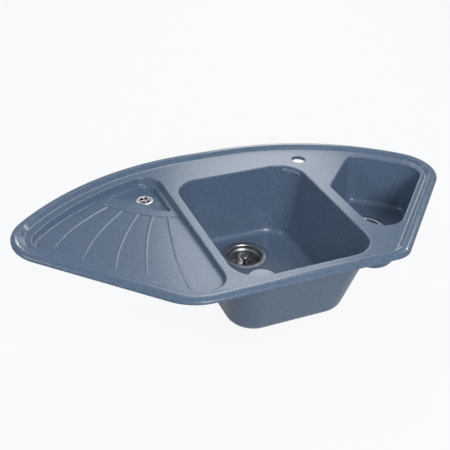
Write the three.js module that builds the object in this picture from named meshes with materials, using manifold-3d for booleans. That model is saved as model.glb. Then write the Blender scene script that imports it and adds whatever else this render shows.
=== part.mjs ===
// A corner kitchen sink moulded in granite composite: a ribbed drainer with a small drain well on the left, a
// deep rectangular main bowl in the middle and a shallow half bowl on the right. The stainless basket wastes,
// the small chrome drain and the overflow are fitted to it. Millimetres. X runs along the front edge, Y towards
// the room's corner and Z up. The origin is on the worktop, midway between the two wings and FRONT_EDGE behind
// the front edge.
import * as THREE from "three";
import { mergeVertices } from "three/addons/utils/BufferGeometryUtils.js";
import Module from "manifold-3d";

const wasm = await Module();
wasm.setup();

// ---------------------------------------------------------------- sizes of the moulding

const DECK_TOP = 2; // the deck's height above the worktop
const DECK_THICKNESS = 9;
const WALL = 8;
const FLOOR_THICKNESS = 11;
const ABOVE = 20; // how far the cutting shapes reach above the deck
const OVERRUN = 1; // how far a cut runs past a face, or a joined shape runs into the next

const FRONT_EDGE = 12; // the front edge, ahead of the origin
const BACK_EDGE = 559;
const WING_OFFSET = 179.6; // each 45 degree front edge, measured square to it from the origin
const BACK_RADIUS = 636; // the two long arcs at the back
const BACK_FLAT = 98; // the straight stretch between them
const TIP_RADIUS = 103; // the left and right ends
const FRONT_CORNER_LEFT = 115;
const FRONT_CORNER_RIGHT = 60;

const RIM_EDGE_HEIGHT = 3.5;
const CREST_HEIGHT = 11;
const CREST_INSET = 18.3;
const CREST_ROUND = 1.2; // half the crest's width
const SHOULDER_TURN = 66; // degrees from the edge's upright face to the crest
const SLOPE_RUN = 10.1; // from the crest in to the deck
const RIM_WIDTH = 30;
const RIM_LAND = 25; // flat underside that rests on the worktop

const MAIN_WIDTH = 324;
const MAIN_LENGTH = 405;
const MAIN_CENTRE_X = 40;
const MAIN_DEPTH = 187;
const MAIN_CORNER = 62;
const MAIN_FLOOR_CORNER = 54;
const MAIN_FRONT_STRIP = 16; // deck between the rim and the bowl
const MAIN_SIDE_DRAFT = 30;
const MAIN_BACK_DRAFT = 8;
const MAIN_FRONT_DRAFT = 55;
const MAIN_FILLET = 18;
const MAIN_DRAIN_FROM_BACK = 85.4;

const HALF_DIVIDER = 31; // deck between the two bowls
const HALF_STRIP = 11; // deck between the rim and the bowl's outer side
const HALF_BACK_STRIP = 19;
const HALF_INNER_OFFSET = 50.2; // the 45 degree inner side, square to it from the origin
const HALF_CORNERS = { outer: 45, back: 27, inner: 22, front: 50 };
const HALF_DEPTH = 125;
const HALF_DRAFTS = { outer: 14, back: 15, inner: 15, left: 5 };
const HALF_CORNER_LOSS = 7;
const HALF_FILLET = 14;
const HALF_DRAIN_FROM_LEFT = 99;
const HALF_DRAIN_FROM_WING = 100.4;

const BOWL_LIP = 3.5; // rounded top edge of both bowls

const TRAY_DIVIDER = 20; // deck between the drainer and the main bowl
const TRAY_BACK_STRIP = 19;
const TRAY_WING_STRIP = 13;
const TRAY_FRONT_STRIP = 7;
const TRAY_CORNERS = { back: 45, tip: 48, front: 80, inner: 45 };
const TRAY_LIP = 1.5;
const TRAY_WALL_RUN = 4; // how far the wall leans in
const TRAY_FILLET = 4;
const TRAY_DEPTH = 17; // at the well's front corner
const TRAY_FALL_X = 0.015;
const TRAY_FALL_Y = 0.018;

const WELL_LEDGE = 9; // between the tray's wall and the well, on the right
const WELL_BACK_LEDGE = 12;
const WELL_FRONT_RADIUS = 238;
const WELL_FRONT_CENTRE = { right: 122, back: 133 }; // of the front arc's centre, from the drain
const WELL_CORNERS = { back: 25, tip: 4, front: 5 };
const WELL_DRAIN_FROM_RIGHT = 48; // from the tray's right side
const WELL_DRAIN_FROM_BACK = 56.8; // from the tray's back arc
const WELL_DEPTH = 13.5; // below the ledge, at the drain
const WELL_FALL_X = 0.155;
const WELL_FALL_Y = 0.113;
const WELL_LEAST_DEPTH = 0.4;
const WELL_WALL_RUN = 3.5;

// The raised band round the well, which the ribs run into.
const BAND_FRONT_RADIUS = 232;
const BAND_FRONT_CENTRE = { right: 98, back: 109 }; // of its front arc's centre, from the drain
const BAND_CORNERS = { back: 20, tip: 4, front: 6 };
const BAND_BACK_LEDGE = 4; // between the tray's wall and the band
const BAND_SLOPE = 4;

// Each rib's thin front end: along the wing's edge, and in from the tray's. Its bow is at the middle.
const RIBS = [
  { along: 509.8, inset: 27, bow: 13.6 },
  { along: 434.9, inset: 15.7, bow: 12 },
  { along: 355.7, inset: 11.4, bow: 10.8 },
  { along: 282.8, inset: 10.7, bow: 9.2 },
  { along: 189.5, inset: 15, bow: 9.3 },
];
const RIB_BACK_FROM = 213.8; // the first rib's broad end, in degrees round the band's front arc
const RIB_BACK_STEP = 9.2;
const RIB_HEIGHT = 1.8;
const RIB_FRONT_WIDTH = 2; // across the top
const RIB_BACK_WIDTH = 5.5;
const RIB_FLANK = 3.8; // how far each side spreads, twice the rib's height down
const RIB_STEPS = 8;

const TAP_HOLE_DIAMETER = 35;
const TAP_HOLE_X = 222;
const TAP_HOLE_FROM_BACK = 86;

// ---------------------------------------------------------------- sizes of the fittings

const SHEET = 1.2; // stainless sheet
const CLEARANCE = 0.3;

const FLANGE_RADIUS = 56;
const FLANGE_FLARE = 1.2; // how far the cup's mouth opens into the flange
const SEAT_DEPTH = 2.5; // the flange's round seat in the bowl's floor
const SEAT_CLEARANCE = 1.5;
const WASTE_HOLE_RADIUS = 45;
const UPPER_GASKET = 1.5;
const LOWER_GASKET = 3;
const CUP_RADIUS = 42;
const CUP_STEP_DEPTH = 12;
const CUP_LOWER_RADIUS = 39.6;
const CUP_DEPTH = 40;
const CUP_HOLES = 8;
const CUP_HOLE_RADIUS = 4.5;
const CUP_HOLE_CIRCLE = 20;

const BASKET_RIM_DEPTH = 9.8;
const BASKET_RIM_CLEARANCE = 0.8;
const BASKET_WALL_CLEARANCE = 1.2;
const BASKET_SHEET = 1;
const BASKET_SLOTS = 10;
const BASKET_SLOT_WIDTH = 4;
const BASKET_SLOT_HEIGHT = 12;
const BASKET_HOLES = 8;
const BASKET_HOLE_RADIUS = 2.6;
const BASKET_HOLE_CIRCLE = 24;
const BASKET_HUB_RADIUS = 12;
const BASKET_HUB_RISE = 3.5;
const SEAL_THICKNESS = 2.5;
const SEAL_RADIUS = 33;

const KNOB_RADIUS = 11;
const KNOB_STEM_RADIUS = 3.5;
const KNOB_PIN_RADIUS = 2.9;
const KNOB_FOOT_RADIUS = 9;
const KNOB_DROP = 3; // the knob's top below the flange

const SCREW_RADIUS = 4;
const SCREW_HEAD_RADIUS = 7;
const SCREW_HEAD_HEIGHT = 3.5;
const SCREW_LENGTH = 16;

const BODY_WALL = 3;
const BODY_FLANGE_RADIUS = 57.5;
const BODY_FLANGE_HEIGHT = 4;
const BODY_CLEARANCE = 2.3; // around the cup
const BOSS_RADIUS = 9;
const BOSS_HEIGHT = 12;
const BOSS_ARM_WIDTH = 5;
const BOSS_ARM_HEIGHT = 6;
const BOSS_ARMS = 3;
const TAIL_RADIUS = 24;
const TAIL_LENGTH = 30;
const CONE_HEIGHT = 12;
const SPIGOT_RADIUS = 10;
const SPIGOT_WALL = 2;
const SPIGOT_LENGTH = 22;

const NUT_WALL = 6;
const NUT_HEIGHT = 17;
const NUT_LIP = 2.5;
const NUT_SIDES = 8;
const WASHER_HEIGHT = 3;

const GRATE_RADIUS = 20.7;
const GRATE_TUBE_RADIUS = 14.5;
const GRATE_WALL = 1.5;
const GRATE_FLANGE = 1.8;
const GRATE_LENGTH = 34;
const GRATE_BAR = 3.2;
const WELL_SEAT_CLEARANCE = 2;
const WELL_GASKET = 1;
const WELL_LOWER_GASKET = 2.5;
const WELL_NUT_RADIUS = 24;
const WELL_NUT_HEIGHT = 8;
const WELL_TAIL_WALL = 3;
const WELL_TAIL_HEIGHT = 17.5;
const WELL_SPIGOT_RADIUS = 8;
const WELL_SPIGOT_LENGTH = 20;

const OVERFLOW_FROM = 17.5; // degrees around the bowl's back right corner
const OVERFLOW_TO = 63.5;
const OVERFLOW_TOP = 6.3; // the cover's top edge below the deck
const OVERFLOW_HEIGHT = 10.4;
const OVERFLOW_POCKET_RADIUS = 61.2;
const OVERFLOW_POCKET_REACH = 11; // how far its cut reaches into the bowl
const OVERFLOW_MARGIN = 0.5; // degrees of clearance at each end of the cover
const OVERFLOW_LAND = 4; // degrees that the land runs past the cover
const OVERFLOW_COVER = 2;
const OVERFLOW_SLOT_HEIGHT = 4.2;
const OVERFLOW_SLOT_MARGIN = 7; // degrees of solid cover at each end, for its screw
const OVERFLOW_SLITS = 7;
const OVERFLOW_SLIT_WIDTH = 2;
const OVERFLOW_BOSS_RADIUS = 70.5;
const OVERFLOW_BOSS_HEIGHT = 25;
const OVERFLOW_GASKET = 2.5;
const OVERFLOW_FUNNEL_DEPTH = 10;
const OVERFLOW_FUNNEL_WALL = 2.5;
const OVERFLOW_SPIGOT_TURN = 9; // degrees from the funnel's right end to its spigot
const OVERFLOW_SPIGOT_RADIUS = 8;
const OVERFLOW_SPIGOT_LENGTH = 26;
const OVERFLOW_SCREW_RADIUS = 1.8;
const OVERFLOW_SCREW_HEAD = 2.8;
const OVERFLOW_SCREW_LENGTH = 22;
const SCREW_ROOM = 4; // from a screw's centre down to the top of the spigot

const LABEL_RADIUS = 35;
const LABEL_THICKNESS = 0.4;
const LABEL_AHEAD = 104; // the round label's centre, ahead of the main drain

const FINE = 28; // segments of the round pieces that show
const COARSE = 20; // and of those that don't

// ---------------------------------------------------------------- materials

const finish = (color, roughness, metalness) => new THREE.MeshStandardMaterial({ color, roughness, metalness });
const granite = () => finish("#5f7389", 0.55, 0);
const stainless = () => finish("#b9b6b0", 0.28, 1);
const chrome = () => finish("#d9dadb", 0.12, 1);
const rubber = () => finish("#26282a", 0.85, 0);
const whitePlastic = () => finish("#e3e4e2", 0.5, 0);
const greyPlastic = () => finish("#7d8ea3", 0.5, 0);
const paper = () => finish("#aab2c6", 0.7, 0);

// ---------------------------------------------------------------- shaping

const wrap = (i, count) => (i + count) % count;
const facing = (degrees) => {
  const a = THREE.MathUtils.degToRad(degrees);
  return new THREE.Vector2(Math.cos(a), Math.sin(a));
};
const edge = (degrees, distance) => ({ degrees, distance });
const arc = (centre, radius, steps) => ({ centre, radius, steps });
const corner = (radius, steps) => ({ radius, steps });
const smooth = corner(0, 0); // where an edge runs on into the next without a corner

// The centre of the rounded corner between an edge and the next, each a straight line or an outward arc.
function cornerCentre(a, b, radius, insetA, insetB) {
  if (a.centre && b.centre) {
    const reachA = a.radius - insetA - radius;
    const reachB = b.radius - insetB - radius;
    const between = b.centre.clone().sub(a.centre);
    const span = between.length();
    const along = (span * span + reachA * reachA - reachB * reachB) / (2 * span);
    const aside = Math.sqrt(reachA * reachA - along * along);
    const way = between.divideScalar(span);
    return new THREE.Vector2(-way.y, way.x).multiplyScalar(aside).addScaledVector(way, along).add(a.centre);
  }
  if (a.centre || b.centre) {
    const [line, lineInset, curve, curveInset] = a.centre ? [b, insetB, a, insetA] : [a, insetA, b, insetB];
    const out = facing(line.degrees);
    const depth = line.distance - lineInset - radius - out.dot(curve.centre);
    const reach = curve.radius - curveInset - radius;
    const aside = Math.sqrt(Math.max(reach * reach - depth * depth, 0)) * (a.centre ? -1 : 1);
    return new THREE.Vector2(-out.y, out.x).multiplyScalar(aside).addScaledVector(out, depth).add(curve.centre);
  }
  const outA = facing(a.degrees);
  const outB = facing(b.degrees);
  const reachA = a.distance - insetA - radius;
  const reachB = b.distance - insetB - radius;
  return new THREE.Vector2(reachA * outB.y - reachB * outA.y, reachB * outA.x - reachA * outB.x)
    .divideScalar(outA.cross(outB));
}

// The closed outline of edges with a rounded corner after each, counter-clockwise. Each edge is moved in by its
// own inset, and each corner's radius shrinks by the given loss.
function outline(shape, inset = 0, loss = inset) {
  const { edges, corners } = shape;
  const last = edges.length;
  const insets = edges.map((_, i) => (Array.isArray(inset) ? inset[i] : inset));
  const radii = corners.map((c) => (c === smooth ? 0 : Math.max(c.radius - loss, 0.5)));
  const centres = edges.map((a, i) => {
    const next = wrap(i + 1, last);
    return cornerCentre(a, edges[next], radii[i], insets[i], insets[next]);
  });
  const facingAt = (from, centre) =>
    from.centre ? THREE.MathUtils.radToDeg(centre.clone().sub(from.centre).angle()) : from.degrees;
  const points = [];
  const sweep = (centre, radius, from, to, steps, first, stop) => {
    const turn = THREE.MathUtils.euclideanModulo(to - from + 1, 360) - 1;
    for (let k = first; k <= stop; k++) {
      points.push(facing(from + (turn * k) / Math.max(steps, 1)).multiplyScalar(radius).add(centre));
    }
  };
  edges.forEach((a, i) => {
    const next = wrap(i + 1, last);
    const b = edges[next];
    const steps = corners[i].steps;
    sweep(centres[i], radii[i], facingAt(a, centres[i]), facingAt(b, centres[i]), steps, 0, steps);
    if (b.centre) {
      const radius = b.radius - insets[next];
      sweep(b.centre, radius, facingAt(b, centres[i]), facingAt(b, centres[next]), b.steps, 1, b.steps - 1);
    }
  });
  return points;
}

// A level or sloping ring of an outline.
const ring = (points, height) =>
  points.map((p) => new THREE.Vector3(p.x, p.y, typeof height === "function" ? height(p.x, p.y) : height));

// The closed skin over convex rings of equal count, each counter-clockwise about the way from first to last.
function loft(rings) {
  const count = rings[0].length;
  const index = [];
  for (let k = 0; k + 1 < rings.length; k++) {
    for (let i = 0; i < count; i++) {
      const a = k * count + i;
      const b = k * count + wrap(i + 1, count);
      index.push(a, b, b + count, a, b + count, a + count);
    }
  }
  const last = (rings.length - 1) * count;
  for (let i = 1; i + 1 < count; i++) {
    index.push(0, i + 1, i, last, last + i, last + i + 1);
  }
  return new THREE.BufferGeometry().setFromPoints(rings.flat()).setIndex(index);
}

// The solid that a closed geometry bounds.
function solid(geometry) {
  const bare = geometry.index ? geometry.toNonIndexed() : geometry.clone();
  bare.deleteAttribute("normal");
  bare.deleteAttribute("uv");
  const merged = mergeVertices(bare, 1e-4);
  const mesh = new wasm.Mesh({
    numProp: 3,
    vertProperties: merged.attributes.position.array,
    triVerts: new Uint32Array(merged.index.array),
  });
  return new wasm.Manifold(mesh);
}

function geometryOf(body) {
  const mesh = body.getMesh();
  const geometry = new THREE.BufferGeometry();
  geometry.setAttribute("position", new THREE.BufferAttribute(new Float32Array(mesh.vertProperties), 3));
  geometry.setIndex(new THREE.BufferAttribute(new Uint32Array(mesh.triVerts), 1));
  const flat = geometry.toNonIndexed();
  flat.computeVertexNormals();
  return flat;
}

const loftSolid = (rings) => solid(loft(rings));

// A piece turned about the Z axis. The closed profile holds [radius, height], counter-clockwise.
function turned(profile, segments = FINE) {
  const points = [...profile, profile[0]].map(([r, z]) => new THREE.Vector2(r, z));
  return new THREE.LatheGeometry(points, segments).rotateX(Math.PI / 2);
}

const turnedSolid = (profile, segments) => solid(turned(profile, segments));
const tube = (inner, outer, bottom, top) => [[inner, bottom], [outer, bottom], [outer, top], [inner, top]];

function rod(radius, bottom, top, segments = COARSE) {
  const height = top - bottom;
  const geometry = new THREE.CylinderGeometry(radius, radius, height, segments).rotateX(Math.PI / 2);
  return solid(geometry.translate(0, 0, bottom + height / 2));
}

function block(width, length, height) {
  return solid(new THREE.BoxGeometry(width, length, height));
}

// A stretch of a ring wall about a vertical axis, from one angle to another.
function sector(inner, outer, from, to, bottom, top, steps = 8) {
  const shape = new THREE.Shape();
  const a = THREE.MathUtils.degToRad(from);
  const b = THREE.MathUtils.degToRad(to);
  shape.absarc(0, 0, outer, a, b, false);
  shape.absarc(0, 0, inner, b, a, true);
  shape.closePath();
  const settings = { depth: top - bottom, bevelEnabled: false, curveSegments: steps };
  return solid(new THREE.ExtrudeGeometry(shape, settings).translate(0, 0, bottom));
}

const around = (count, place) => Array.from({ length: count }, (_, i) => place((360 * i) / count));
const join = (bodies) => bodies.reduce((whole, body) => whole.add(body));
const cut = (body, cutters) => cutters.reduce((rest, cutter) => rest.subtract(cutter), body);

const sink = new THREE.Group();

function add(name, geometry, material, place = [0, 0, 0]) {
  const mesh = new THREE.Mesh(geometry, material);
  mesh.name = name;
  mesh.position.set(...place);
  sink.add(mesh);
  return mesh;
}

// ---------------------------------------------------------------- plan shapes

// A long back arc of the rim, right (1) or left (-1), moved in from the rim's edge.
const backArc = (side, inset, steps) =>
  arc(new THREE.Vector2((side * BACK_FLAT) / 2, BACK_EDGE - BACK_RADIUS), BACK_RADIUS - inset, steps);

// How far back such an arc lies at a place along X.
function backAt(side, inset, x) {
  const { centre, radius } = backArc(side, inset);
  return centre.y + Math.sqrt(radius * radius - (x - centre.x) ** 2);
}

const rimPlan = {
  edges: [
    edge(-45, WING_OFFSET),
    backArc(1, 0, 10),
    edge(90, BACK_EDGE),
    backArc(-1, 0, 10),
    edge(225, WING_OFFSET),
    edge(270, FRONT_EDGE),
  ],
  corners: [
    corner(TIP_RADIUS, 10),
    smooth,
    smooth,
    corner(TIP_RADIUS, 10),
    corner(FRONT_CORNER_LEFT, 6),
    corner(FRONT_CORNER_RIGHT, 6),
  ],
};

const mainRight = MAIN_CENTRE_X + MAIN_WIDTH / 2;
const mainLeft = MAIN_CENTRE_X - MAIN_WIDTH / 2;
const mainFront = RIM_WIDTH - FRONT_EDGE + MAIN_FRONT_STRIP;
const mainBack = mainFront + MAIN_LENGTH;
const mainPlan = {
  edges: [edge(0, mainRight), edge(90, mainBack), edge(180, -mainLeft), edge(270, -mainFront)],
  corners: [0, 1, 2, 3].map(() => corner(MAIN_CORNER, 8)),
};

const halfLeft = mainRight + HALF_DIVIDER;
const halfWing = WING_OFFSET - RIM_WIDTH - HALF_STRIP;
const halfPlan = {
  edges: [
    edge(-45, halfWing),
    backArc(1, RIM_WIDTH + HALF_BACK_STRIP, 4),
    edge(135, HALF_INNER_OFFSET),
    edge(180, -halfLeft),
  ],
  corners: [
    corner(HALF_CORNERS.outer, 8),
    corner(HALF_CORNERS.back, 6),
    corner(HALF_CORNERS.inner, 4),
    corner(HALF_CORNERS.front, 8),
  ],
};

const trayBack = RIM_WIDTH + TRAY_BACK_STRIP;
const trayRight = mainLeft - TRAY_DIVIDER;
const trayWing = WING_OFFSET - RIM_WIDTH - TRAY_WING_STRIP;
const trayPlan = {
  edges: [
    edge(0, trayRight),
    backArc(-1, trayBack, 8),
    edge(225, trayWing),
    edge(270, FRONT_EDGE - RIM_WIDTH - TRAY_FRONT_STRIP),
  ],
  corners: [
    corner(TRAY_CORNERS.back, 6),
    corner(TRAY_CORNERS.tip, 8),
    corner(TRAY_CORNERS.front, 5),
    corner(TRAY_CORNERS.inner, 6),
  ],
};

const wellDrainX = trayRight - WELL_DRAIN_FROM_RIGHT;
const wellDrain = [wellDrainX, backAt(-1, trayBack, wellDrainX) - WELL_DRAIN_FROM_BACK];
const fromDrain = ({ right, back }) => new THREE.Vector2(wellDrain[0] + right, wellDrain[1] + back);
const wellRight = trayRight - TRAY_WALL_RUN - WELL_LEDGE;
const wellPlan = {
  edges: [
    edge(0, wellRight),
    backArc(-1, trayBack + TRAY_WALL_RUN + WELL_BACK_LEDGE, 4),
    arc(fromDrain(WELL_FRONT_CENTRE), WELL_FRONT_RADIUS, 6),
  ],
  corners: [corner(WELL_CORNERS.back, 5), corner(WELL_CORNERS.tip, 3), corner(WELL_CORNERS.front, 3)],
};

const bandCentre = fromDrain(BAND_FRONT_CENTRE);
const bandPlan = {
  edges: [
    edge(0, trayRight - OVERRUN),
    backArc(-1, trayBack + TRAY_WALL_RUN + BAND_BACK_LEDGE, 4),
    arc(bandCentre, BAND_FRONT_RADIUS, 6),
  ],
  corners: [corner(BAND_CORNERS.back, 4), corner(BAND_CORNERS.tip, 3), corner(BAND_CORNERS.front, 3)],
};

// ---------------------------------------------------------------- heights

const mainFloor = DECK_TOP - MAIN_DEPTH;
const halfFloor = DECK_TOP - HALF_DEPTH;
const mainDrain = [MAIN_CENTRE_X, mainBack - MAIN_DRAIN_FROM_BACK];
const halfDrainX = halfLeft + HALF_DRAIN_FROM_LEFT;
const halfDrain = [halfDrainX, halfDrainX - (halfWing - HALF_DRAIN_FROM_WING) * Math.SQRT2];
const tapHole = [TAP_HOLE_X, backAt(1, 0, TAP_HOLE_X) - TAP_HOLE_FROM_BACK];

function trayFloor(x, y) {
  const rise = TRAY_FALL_X * (wellRight - x) + TRAY_FALL_Y * (bandCentre.y - BAND_FRONT_RADIUS - y);
  return DECK_TOP - TRAY_DEPTH + rise;
}

function wellFloor(x, y) {
  const change = WELL_FALL_X * (x - wellDrain[0]) + WELL_FALL_Y * (y - wellDrain[1]);
  return trayFloor(x, y) - Math.max(WELL_DEPTH + change, WELL_LEAST_DEPTH);
}

const wellSeat = wellFloor(...wellDrain);
const wellUnderside = wellSeat - WALL;

// ---------------------------------------------------------------- the moulding

// The rim's section: a broad round shoulder up to a narrow crest, then a straight slope to the deck.
function rimRings() {
  const rings = [ring(outline(rimPlan), 0)];
  const steps = 6;
  const turn = THREE.MathUtils.degToRad(SHOULDER_TURN);
  for (let k = 0; k <= steps; k++) {
    const a = (turn * k) / steps;
    const inset = ((CREST_INSET - CREST_ROUND) * (1 - Math.cos(a))) / (1 - Math.cos(turn));
    const height = THREE.MathUtils.lerp(RIM_EDGE_HEIGHT, CREST_HEIGHT, Math.sin(a) / Math.sin(turn));
    rings.push(ring(outline(rimPlan, inset), height));
  }
  for (const run of [CREST_ROUND, SLOPE_RUN]) {
    const height = THREE.MathUtils.lerp(CREST_HEIGHT, DECK_TOP, run / SLOPE_RUN);
    rings.push(ring(outline(rimPlan, CREST_INSET + run), height));
  }
  return rings;
}

// A bowl's hollow, or with an outward wall its outside: a rounded floor, drafted sides and, on the hollow, a
// rounded lip that opens above the deck.
function bowlSolid(plan, drafts, cornerLoss, depth, fillet, wall, floorThickness) {
  const floor = DECK_TOP - depth - floorThickness;
  const round = fillet + wall;
  const rings = [];
  const section = (height, extra) => {
    const share = (DECK_TOP - height) / depth;
    const insets = drafts.map((draft) => draft * share - wall + extra);
    return ring(outline(plan, insets, cornerLoss * share - wall + extra), height);
  };
  const filletSteps = 4;
  for (let k = 0; k <= filletSteps; k++) {
    const a = (Math.PI / 2) * (1 - k / filletSteps);
    rings.push(section(floor + round * (1 - Math.sin(a)), round * (1 - Math.cos(a))));
  }
  if (wall > 0) {
    rings.push(section(DECK_TOP - DECK_THICKNESS / 2, 0));
    return loftSolid(rings);
  }
  const lipSteps = 3;
  for (let k = 0; k <= lipSteps; k++) {
    const a = (Math.PI / 2) * (k / lipSteps);
    rings.push(section(DECK_TOP - BOWL_LIP * (1 - Math.sin(a)), -BOWL_LIP * (1 - Math.cos(a))));
  }
  rings.push(ring(outline(plan, -BOWL_LIP), ABOVE));
  return loftSolid(rings);
}

function trayHollow() {
  return loftSolid([
    ring(outline(trayPlan, TRAY_WALL_RUN + TRAY_FILLET), trayFloor),
    ring(outline(trayPlan, TRAY_WALL_RUN + TRAY_FILLET * 0.3), (x, y) => trayFloor(x, y) + TRAY_FILLET * 0.3),
    ring(outline(trayPlan, TRAY_WALL_RUN), (x, y) => trayFloor(x, y) + TRAY_FILLET),
    ring(outline(trayPlan, 0), DECK_TOP - TRAY_LIP),
    ring(outline(trayPlan, -TRAY_LIP), DECK_TOP),
    ring(outline(trayPlan, -TRAY_LIP), ABOVE),
  ]);
}

// The well's floor slopes from nothing at its left tip down to the drain, and is level from there on.
function wellHollow() {
  const bandTop = (x, y) => trayFloor(x, y) + RIB_HEIGHT;
  const foot = (x, y) => THREE.MathUtils.lerp(wellFloor(x, y), bandTop(x, y), 0.7);
  const size = 2 * BAND_FRONT_RADIUS;
  const aboveSeat = block(size, size, size).translate([...wellDrain, wellSeat + size / 2]);
  const sloped = loftSolid([
    ring(outline(wellPlan, WELL_WALL_RUN), wellFloor),
    ring(outline(wellPlan, WELL_WALL_RUN * 0.3), foot),
    ring(outline(wellPlan), bandTop),
    ring(outline(wellPlan), DECK_TOP),
  ]);
  return sloped.intersect(aboveSeat);
}

function bandSolid() {
  return loftSolid([
    ring(outline(bandPlan), (x, y) => trayFloor(x, y) - RIB_HEIGHT),
    ring(outline(bandPlan), (x, y) => trayFloor(x, y)),
    ring(outline(bandPlan, BAND_SLOPE), (x, y) => trayFloor(x, y) + RIB_HEIGHT),
  ]);
}

function ribSolid({ along, inset, bow }, index) {
  const out = facing(225);
  const front = new THREE.Vector2(out.y, -out.x).multiplyScalar(along).addScaledVector(out, trayWing - inset);
  const back = facing(RIB_BACK_FROM + RIB_BACK_STEP * index).multiplyScalar(BAND_FRONT_RADIUS).add(bandCentre);
  const chord = back.clone().sub(front).normalize();
  const aside = new THREE.Vector2(-chord.y, chord.x).multiplyScalar(2 * bow);
  const curve = new THREE.QuadraticBezierCurve(front, front.clone().add(back).divideScalar(2).add(aside), back);
  const sections = [];
  for (let k = 0; k <= RIB_STEPS; k++) {
    const share = k / RIB_STEPS;
    const p = curve.getPoint(share);
    const ahead = curve.getTangent(share);
    const half = THREE.MathUtils.lerp(RIB_FRONT_WIDTH, RIB_BACK_WIDTH, share) / 2;
    const floor = trayFloor(p.x, p.y);
    const height = RIB_HEIGHT * Math.min(1, 0.35 + 2 * share);
    const at = (side, z) => new THREE.Vector3(p.x - ahead.y * side, p.y + ahead.x * side, z);
    sections.push([
      at(half + RIB_FLANK, floor - RIB_HEIGHT),
      at(half, floor + height),
      at(-half, floor + height),
      at(-half - RIB_FLANK, floor - RIB_HEIGHT),
    ]);
  }
  return loftSolid(sections);
}

const mainDrafts = [MAIN_SIDE_DRAFT, MAIN_BACK_DRAFT, MAIN_SIDE_DRAFT, MAIN_FRONT_DRAFT];
const halfDrafts = [HALF_DRAFTS.outer, HALF_DRAFTS.back, HALF_DRAFTS.inner, HALF_DRAFTS.left];
const mainCornerLoss = MAIN_CORNER - MAIN_FLOOR_CORNER;
const mainBowl = (wall, floorThickness) =>
  bowlSolid(mainPlan, mainDrafts, mainCornerLoss, MAIN_DEPTH, MAIN_FILLET, wall, floorThickness);
const halfBowl = (wall, floorThickness) =>
  bowlSolid(halfPlan, halfDrafts, HALF_CORNER_LOSS, HALF_DEPTH, HALF_FILLET, wall, floorThickness);

// The overflow is set about the vertical axis of the main bowl's back right corner.
const overflowAxis = [mainRight - MAIN_CORNER, mainBack - MAIN_CORNER, 0];
const coverTop = DECK_TOP - OVERFLOW_TOP;
const coverBottom = coverTop - OVERFLOW_HEIGHT;
const slotFrom = OVERFLOW_FROM + OVERFLOW_SLOT_MARGIN;
const slotTo = OVERFLOW_TO - OVERFLOW_SLOT_MARGIN;
const slotBottom = coverBottom + 1;
const slotTop = slotBottom + OVERFLOW_SLOT_HEIGHT;
const screwAngles = [OVERFLOW_FROM + OVERFLOW_SLOT_MARGIN / 2, OVERFLOW_TO - OVERFLOW_SLOT_MARGIN / 2];
const screwHeight = (slotBottom + slotTop) / 2;
const landFrom = OVERFLOW_FROM - OVERFLOW_LAND;
const landTo = OVERFLOW_TO + OVERFLOW_LAND;
const overflowCutFrom = OVERFLOW_POCKET_RADIUS - OVERFLOW_POCKET_REACH;
const coverInner = OVERFLOW_POCKET_RADIUS - OVERFLOW_COVER;
const screwTip = coverInner + OVERFLOW_SCREW_LENGTH;
const funnelTop = DECK_TOP - DECK_THICKNESS - CLEARANCE;
const funnelBottom = funnelTop - OVERFLOW_BOSS_HEIGHT;

// A rod that lies along the radius at the given angle about the overflow's axis.
function radialRod(radius, from, to, degrees, height) {
  const body = rod(radius, from, to, 12);
  return body.rotate([0, 90, degrees]).translate([0, 0, height]);
}

const screwHoles = (clearance) =>
  screwAngles.map((a) =>
    radialRod(OVERFLOW_SCREW_RADIUS + clearance, overflowCutFrom, screwTip + clearance, a, screwHeight),
  );

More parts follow.
